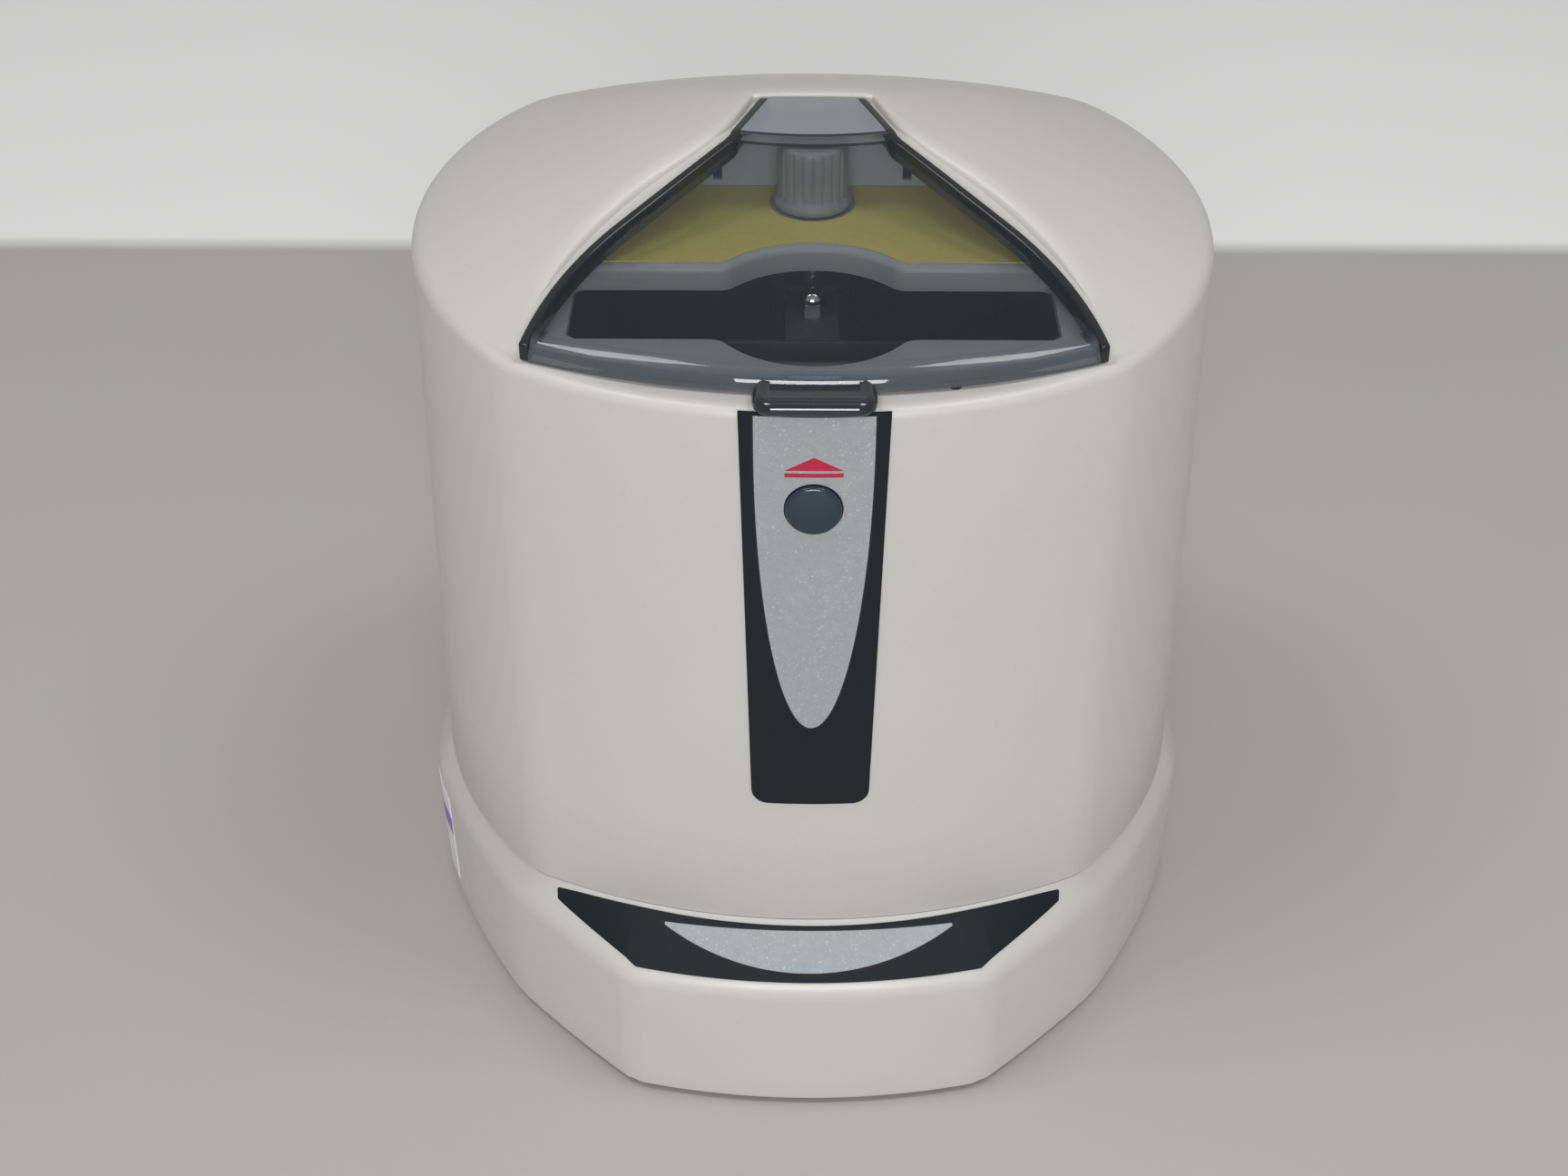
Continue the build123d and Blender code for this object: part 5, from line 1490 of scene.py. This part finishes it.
# ---------- deck, rotor and small parts
@dataclass
class HandKnob:
    """The fluted knob that turns the rotor by hand."""

    centre: Plan = (0.0, -4.0)
    flutes: int = 20
    flute_depth: float = 0.7
    profile: tuple[Plan, ...] = ((4.2, 261.8), (11.6, 261.8), (11.9, 262.2), (11.9, 263.6), (11.6, 264.2),
                                 (10.8, 264.9), (10.6, 266.0), (10.5, 274.0), (10.5, 279.4), (10.3, 280.4),
                                 (9.9, 281.2), (9.0, 281.7), (7.4, 281.8), (4.2, 281.6), (0.6, 281.6))

    def build(self) -> None:
        """Turns the knob with its flutes and its flared foot."""
        piece = Bench.turned("knob_body", self.profile, self.centre, 192, self._radius)
        Bench.smooth(piece, 50.0)
        dress(piece, "knob", "rotor", "knob_black", "hand_knob")

    def _radius(self, radius: float, angle: float, z: float) -> float:
        """Takes the flutes out of the radius."""
        share = smooth_step(264.6, 266.2, z) * (1.0 - smooth_step(279.0, 281.0, z))
        wave = max(0.0, math.cos(self.flutes * angle)) ** 2
        return radius - self.flute_depth * share * wave


class SoftParts:
    """The small parts whose edges are eased and that otherwise stay as the frame has them."""

    rows = (
        ("deck_tray", "deck", "case", "deck_grey", 0.6),
        ("hinge_lugs", "black", "lid", "black_gloss", 0.3),
        ("hinge_bracket", "deck", "case", "deck_grey", 0.35),
        ("lid_strike", "steel", "lid", "steel", 0.15),
        ("switch_peg", "black", "lid", "black_gloss", 0.2),
        ("rotor_shaft", "steel", "rotor", "steel", 0.3),
        ("rotor_plate", "carrier", "rotor", "carrier_metal", 0.4),
        ("rotor_hub", "hub", "rotor", "carrier_metal", 0.5),
        ("carrier_bar", "hub", "rotor", "carrier_metal", 0.4),
        ("carrier_front", "carrier", "rotor", "carrier_metal", 0.35),
        ("carrier_rear", "carrier", "rotor", "carrier_metal", 0.35),
        ("rear_panel", "black", "case", "internal_black", 0.4),
        ("power_inlet", "black", "case", "internal_black", 0.3),
        ("power_switch", "black", "case", "internal_black", 0.3),
        ("power_rocker", "gloss_black", "rocker", "internal_black", 0.4),
    )

    def build(self) -> None:
        """Copies each part and rounds its edges."""
        for node, finish, body, slot, width in self.rows:
            piece = Bench.copy_of(node, node + "_soft")
            Bench.bevel(piece, width, 2, 40.0)
            Bench.smooth(piece, 40.0)
            dress(piece, finish, body, slot, node)


class PlainParts:
    """The parts that keep the frame's shape and only take a finish."""

    finishes = {
        "bottom_plate": "coated", "plate_screws": "steel", "hinge_pin": "steel", "hinge_washers": "steel",
        "bracket_screws": "steel", "knob_bush": "bush", "cap_nuts": "nut", "rotor_bowl": "bowl",
        "motor_plate": "steel", "motor_can": "coated", "motor_end_cap": "coated", "motor_dampers": "rubber",
        "motor_screws": "steel", "button_spring": "steel", "button_guide": "steel", "button_clip": "steel",
        "latch_bracket": "steel", "latch_pin": "steel", "latch_hook": "steel", "lid_switch": "black",
        "circuit_board": "board", "board_standoffs": "steel", "board_parts": "black",
    }

    def build(self) -> None:
        """Sets each part's finish on its own slots."""
        finishes = dict(self.finishes)
        for index in range(1, 5):
            finishes[f"rubber_foot_{index}"] = "rubber"
            finishes[f"support_pillar_{index}"] = "steel"
        for node, finish in finishes.items():
            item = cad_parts[node]
            for slot in item.material_slots:
                slot.material = FINISHES.get(finish)
            LOG.info("%s keeps its shape", node)


# ---------- studio
@dataclass(frozen=True)
class Lamp:
    """A rectangular lamp: where it hangs, where it points, its size in metres and its power in watts."""

    name: str
    spot: Point
    aim: Point
    size: Plan
    power: float

    def hang(self) -> None:
        """Adds the lamp to the scene."""
        data = bpy.data.lights.new(self.name, "AREA")
        data.shape = "RECTANGLE"
        data.size, data.size_y = self.size
        data.energy = self.power
        lamp = bpy.data.objects.new(self.name, data)
        bpy.context.scene.collection.objects.link(lamp)
        lamp.location = self.spot
        lamp.rotation_euler = (Vector(self.aim) - Vector(self.spot)).to_track_quat("-Z", "Y").to_euler()


@dataclass
class Studio:
    """The pale bench, the soft lights and the camera."""

    eye: Point = (-0.0066, -0.5837, 0.5509)
    pitch: float = 36.303
    yaw: float = -0.168
    roll: float = 0.133
    lens: float = 49.206
    sensor: float = 36.0
    edge_y: float = 0.487
    edge_soft: float = 0.008
    glow: float = 0.09
    room: float = 0.4
    lamps: tuple[Lamp, ...] = (
        Lamp("overhead", (0.0, -0.2, 3.5), (0.0, -0.2, 0.0), (3.2, 1.6), 6.0),
        Lamp("front_fill", (0.0, -2.1, 0.95), (0.0, 0.0, 0.12), (1.0, 0.6), 25.0),
        Lamp("left_panel", (-0.6, -0.25, 1.6), (0.0, -0.1, 0.2), (0.42, 0.5), 4.2),
        Lamp("right_panel", (0.6, -0.25, 1.6), (0.0, -0.1, 0.2), (0.42, 0.5), 4.2),
    )

    def build(self) -> None:
        """Sets up everything round the object."""
        self._floor()
        self._world()
        for lamp in self.lamps:
            lamp.hang()
        self._camera()
        bpy.context.scene.view_settings.view_transform = "Standard"

    def _floor(self) -> None:
        """Lays the bench top, grey round the object and paler beyond its far edge."""
        Bench.clear()
        bpy.ops.mesh.primitive_plane_add(size=8.0)
        floor = bpy.context.active_object
        floor.name = "bench_top"
        recipe = Recipe("bench_laminate")
        colour = recipe.blend(recipe.noise(240.0, 3.0), (0.45, 0.445, 0.43), (0.48, 0.475, 0.46))
        along = recipe.node("SeparateXYZ", Vector=recipe.place).outputs[1]
        beyond = recipe.between(along, 0.0, 1.0, self.edge_y - self.edge_soft,
                                self.edge_y + self.edge_soft)
        colour = recipe.blend(beyond, colour, (0.80, 0.805, 0.80))
        seen = recipe.node("LightPath").outputs["Is Camera Ray"]
        glow = recipe.step("MULTIPLY", recipe.step("MULTIPLY", beyond, seen), self.glow)
        recipe.set(Base_Color=colour, Roughness=0.55, Specular_IOR_Level=0.3)
        recipe.set(Emission_Color=(1.0, 1.0, 1.0, 1.0), Emission_Strength=glow)
        floor.data.materials.append(recipe.material)

    def _world(self) -> None:
        """Fills the room with even, faint light."""
        world = bpy.data.worlds.new("room")
        bpy.context.scene.world = world
        world.use_nodes = True
        background = world.node_tree.nodes["Background"]
        background.inputs["Color"].default_value = (1.0, 1.0, 0.99, 1.0)
        background.inputs["Strength"].default_value = self.room

    def _camera(self) -> None:
        """Stands the camera where it looks down at the front."""
        pitch, yaw, roll = (math.radians(angle) for angle in (self.pitch, self.yaw, self.roll))
        ahead = Vector((math.sin(yaw) * math.cos(pitch), math.cos(yaw) * math.cos(pitch), -math.sin(pitch)))
        right = Vector((math.cos(yaw), -math.sin(yaw), 0.0))
        up = right.cross(ahead)
        cos, sin = math.cos(roll), math.sin(roll)
        right, up = right * cos + up * sin, up * cos - right * sin
        data = bpy.data.cameras.new("camera")
        data.lens = self.lens
        data.sensor_width = self.sensor
        camera = bpy.data.objects.new("camera", data)
        bpy.context.scene.collection.objects.link(camera)
        turn = Matrix((right, up, -ahead)).transposed().to_4x4()
        camera.matrix_world = Matrix.Translation(Vector(self.eye)) @ turn
        bpy.context.scene.camera = camera


def main() -> None:
    """Builds every piece, dresses the rest and sets up the studio."""
    logging.basicConfig(level=logging.INFO, format="%(name)s %(message)s")
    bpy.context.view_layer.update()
    Housing().build()
    Base().build()
    Lid().build()
    OpenButton().build()
    Markings().build()
    HandKnob().build()
    SoftParts().build()
    PlainParts().build()
    Studio().build()


if __name__ == "__main__":
    main()
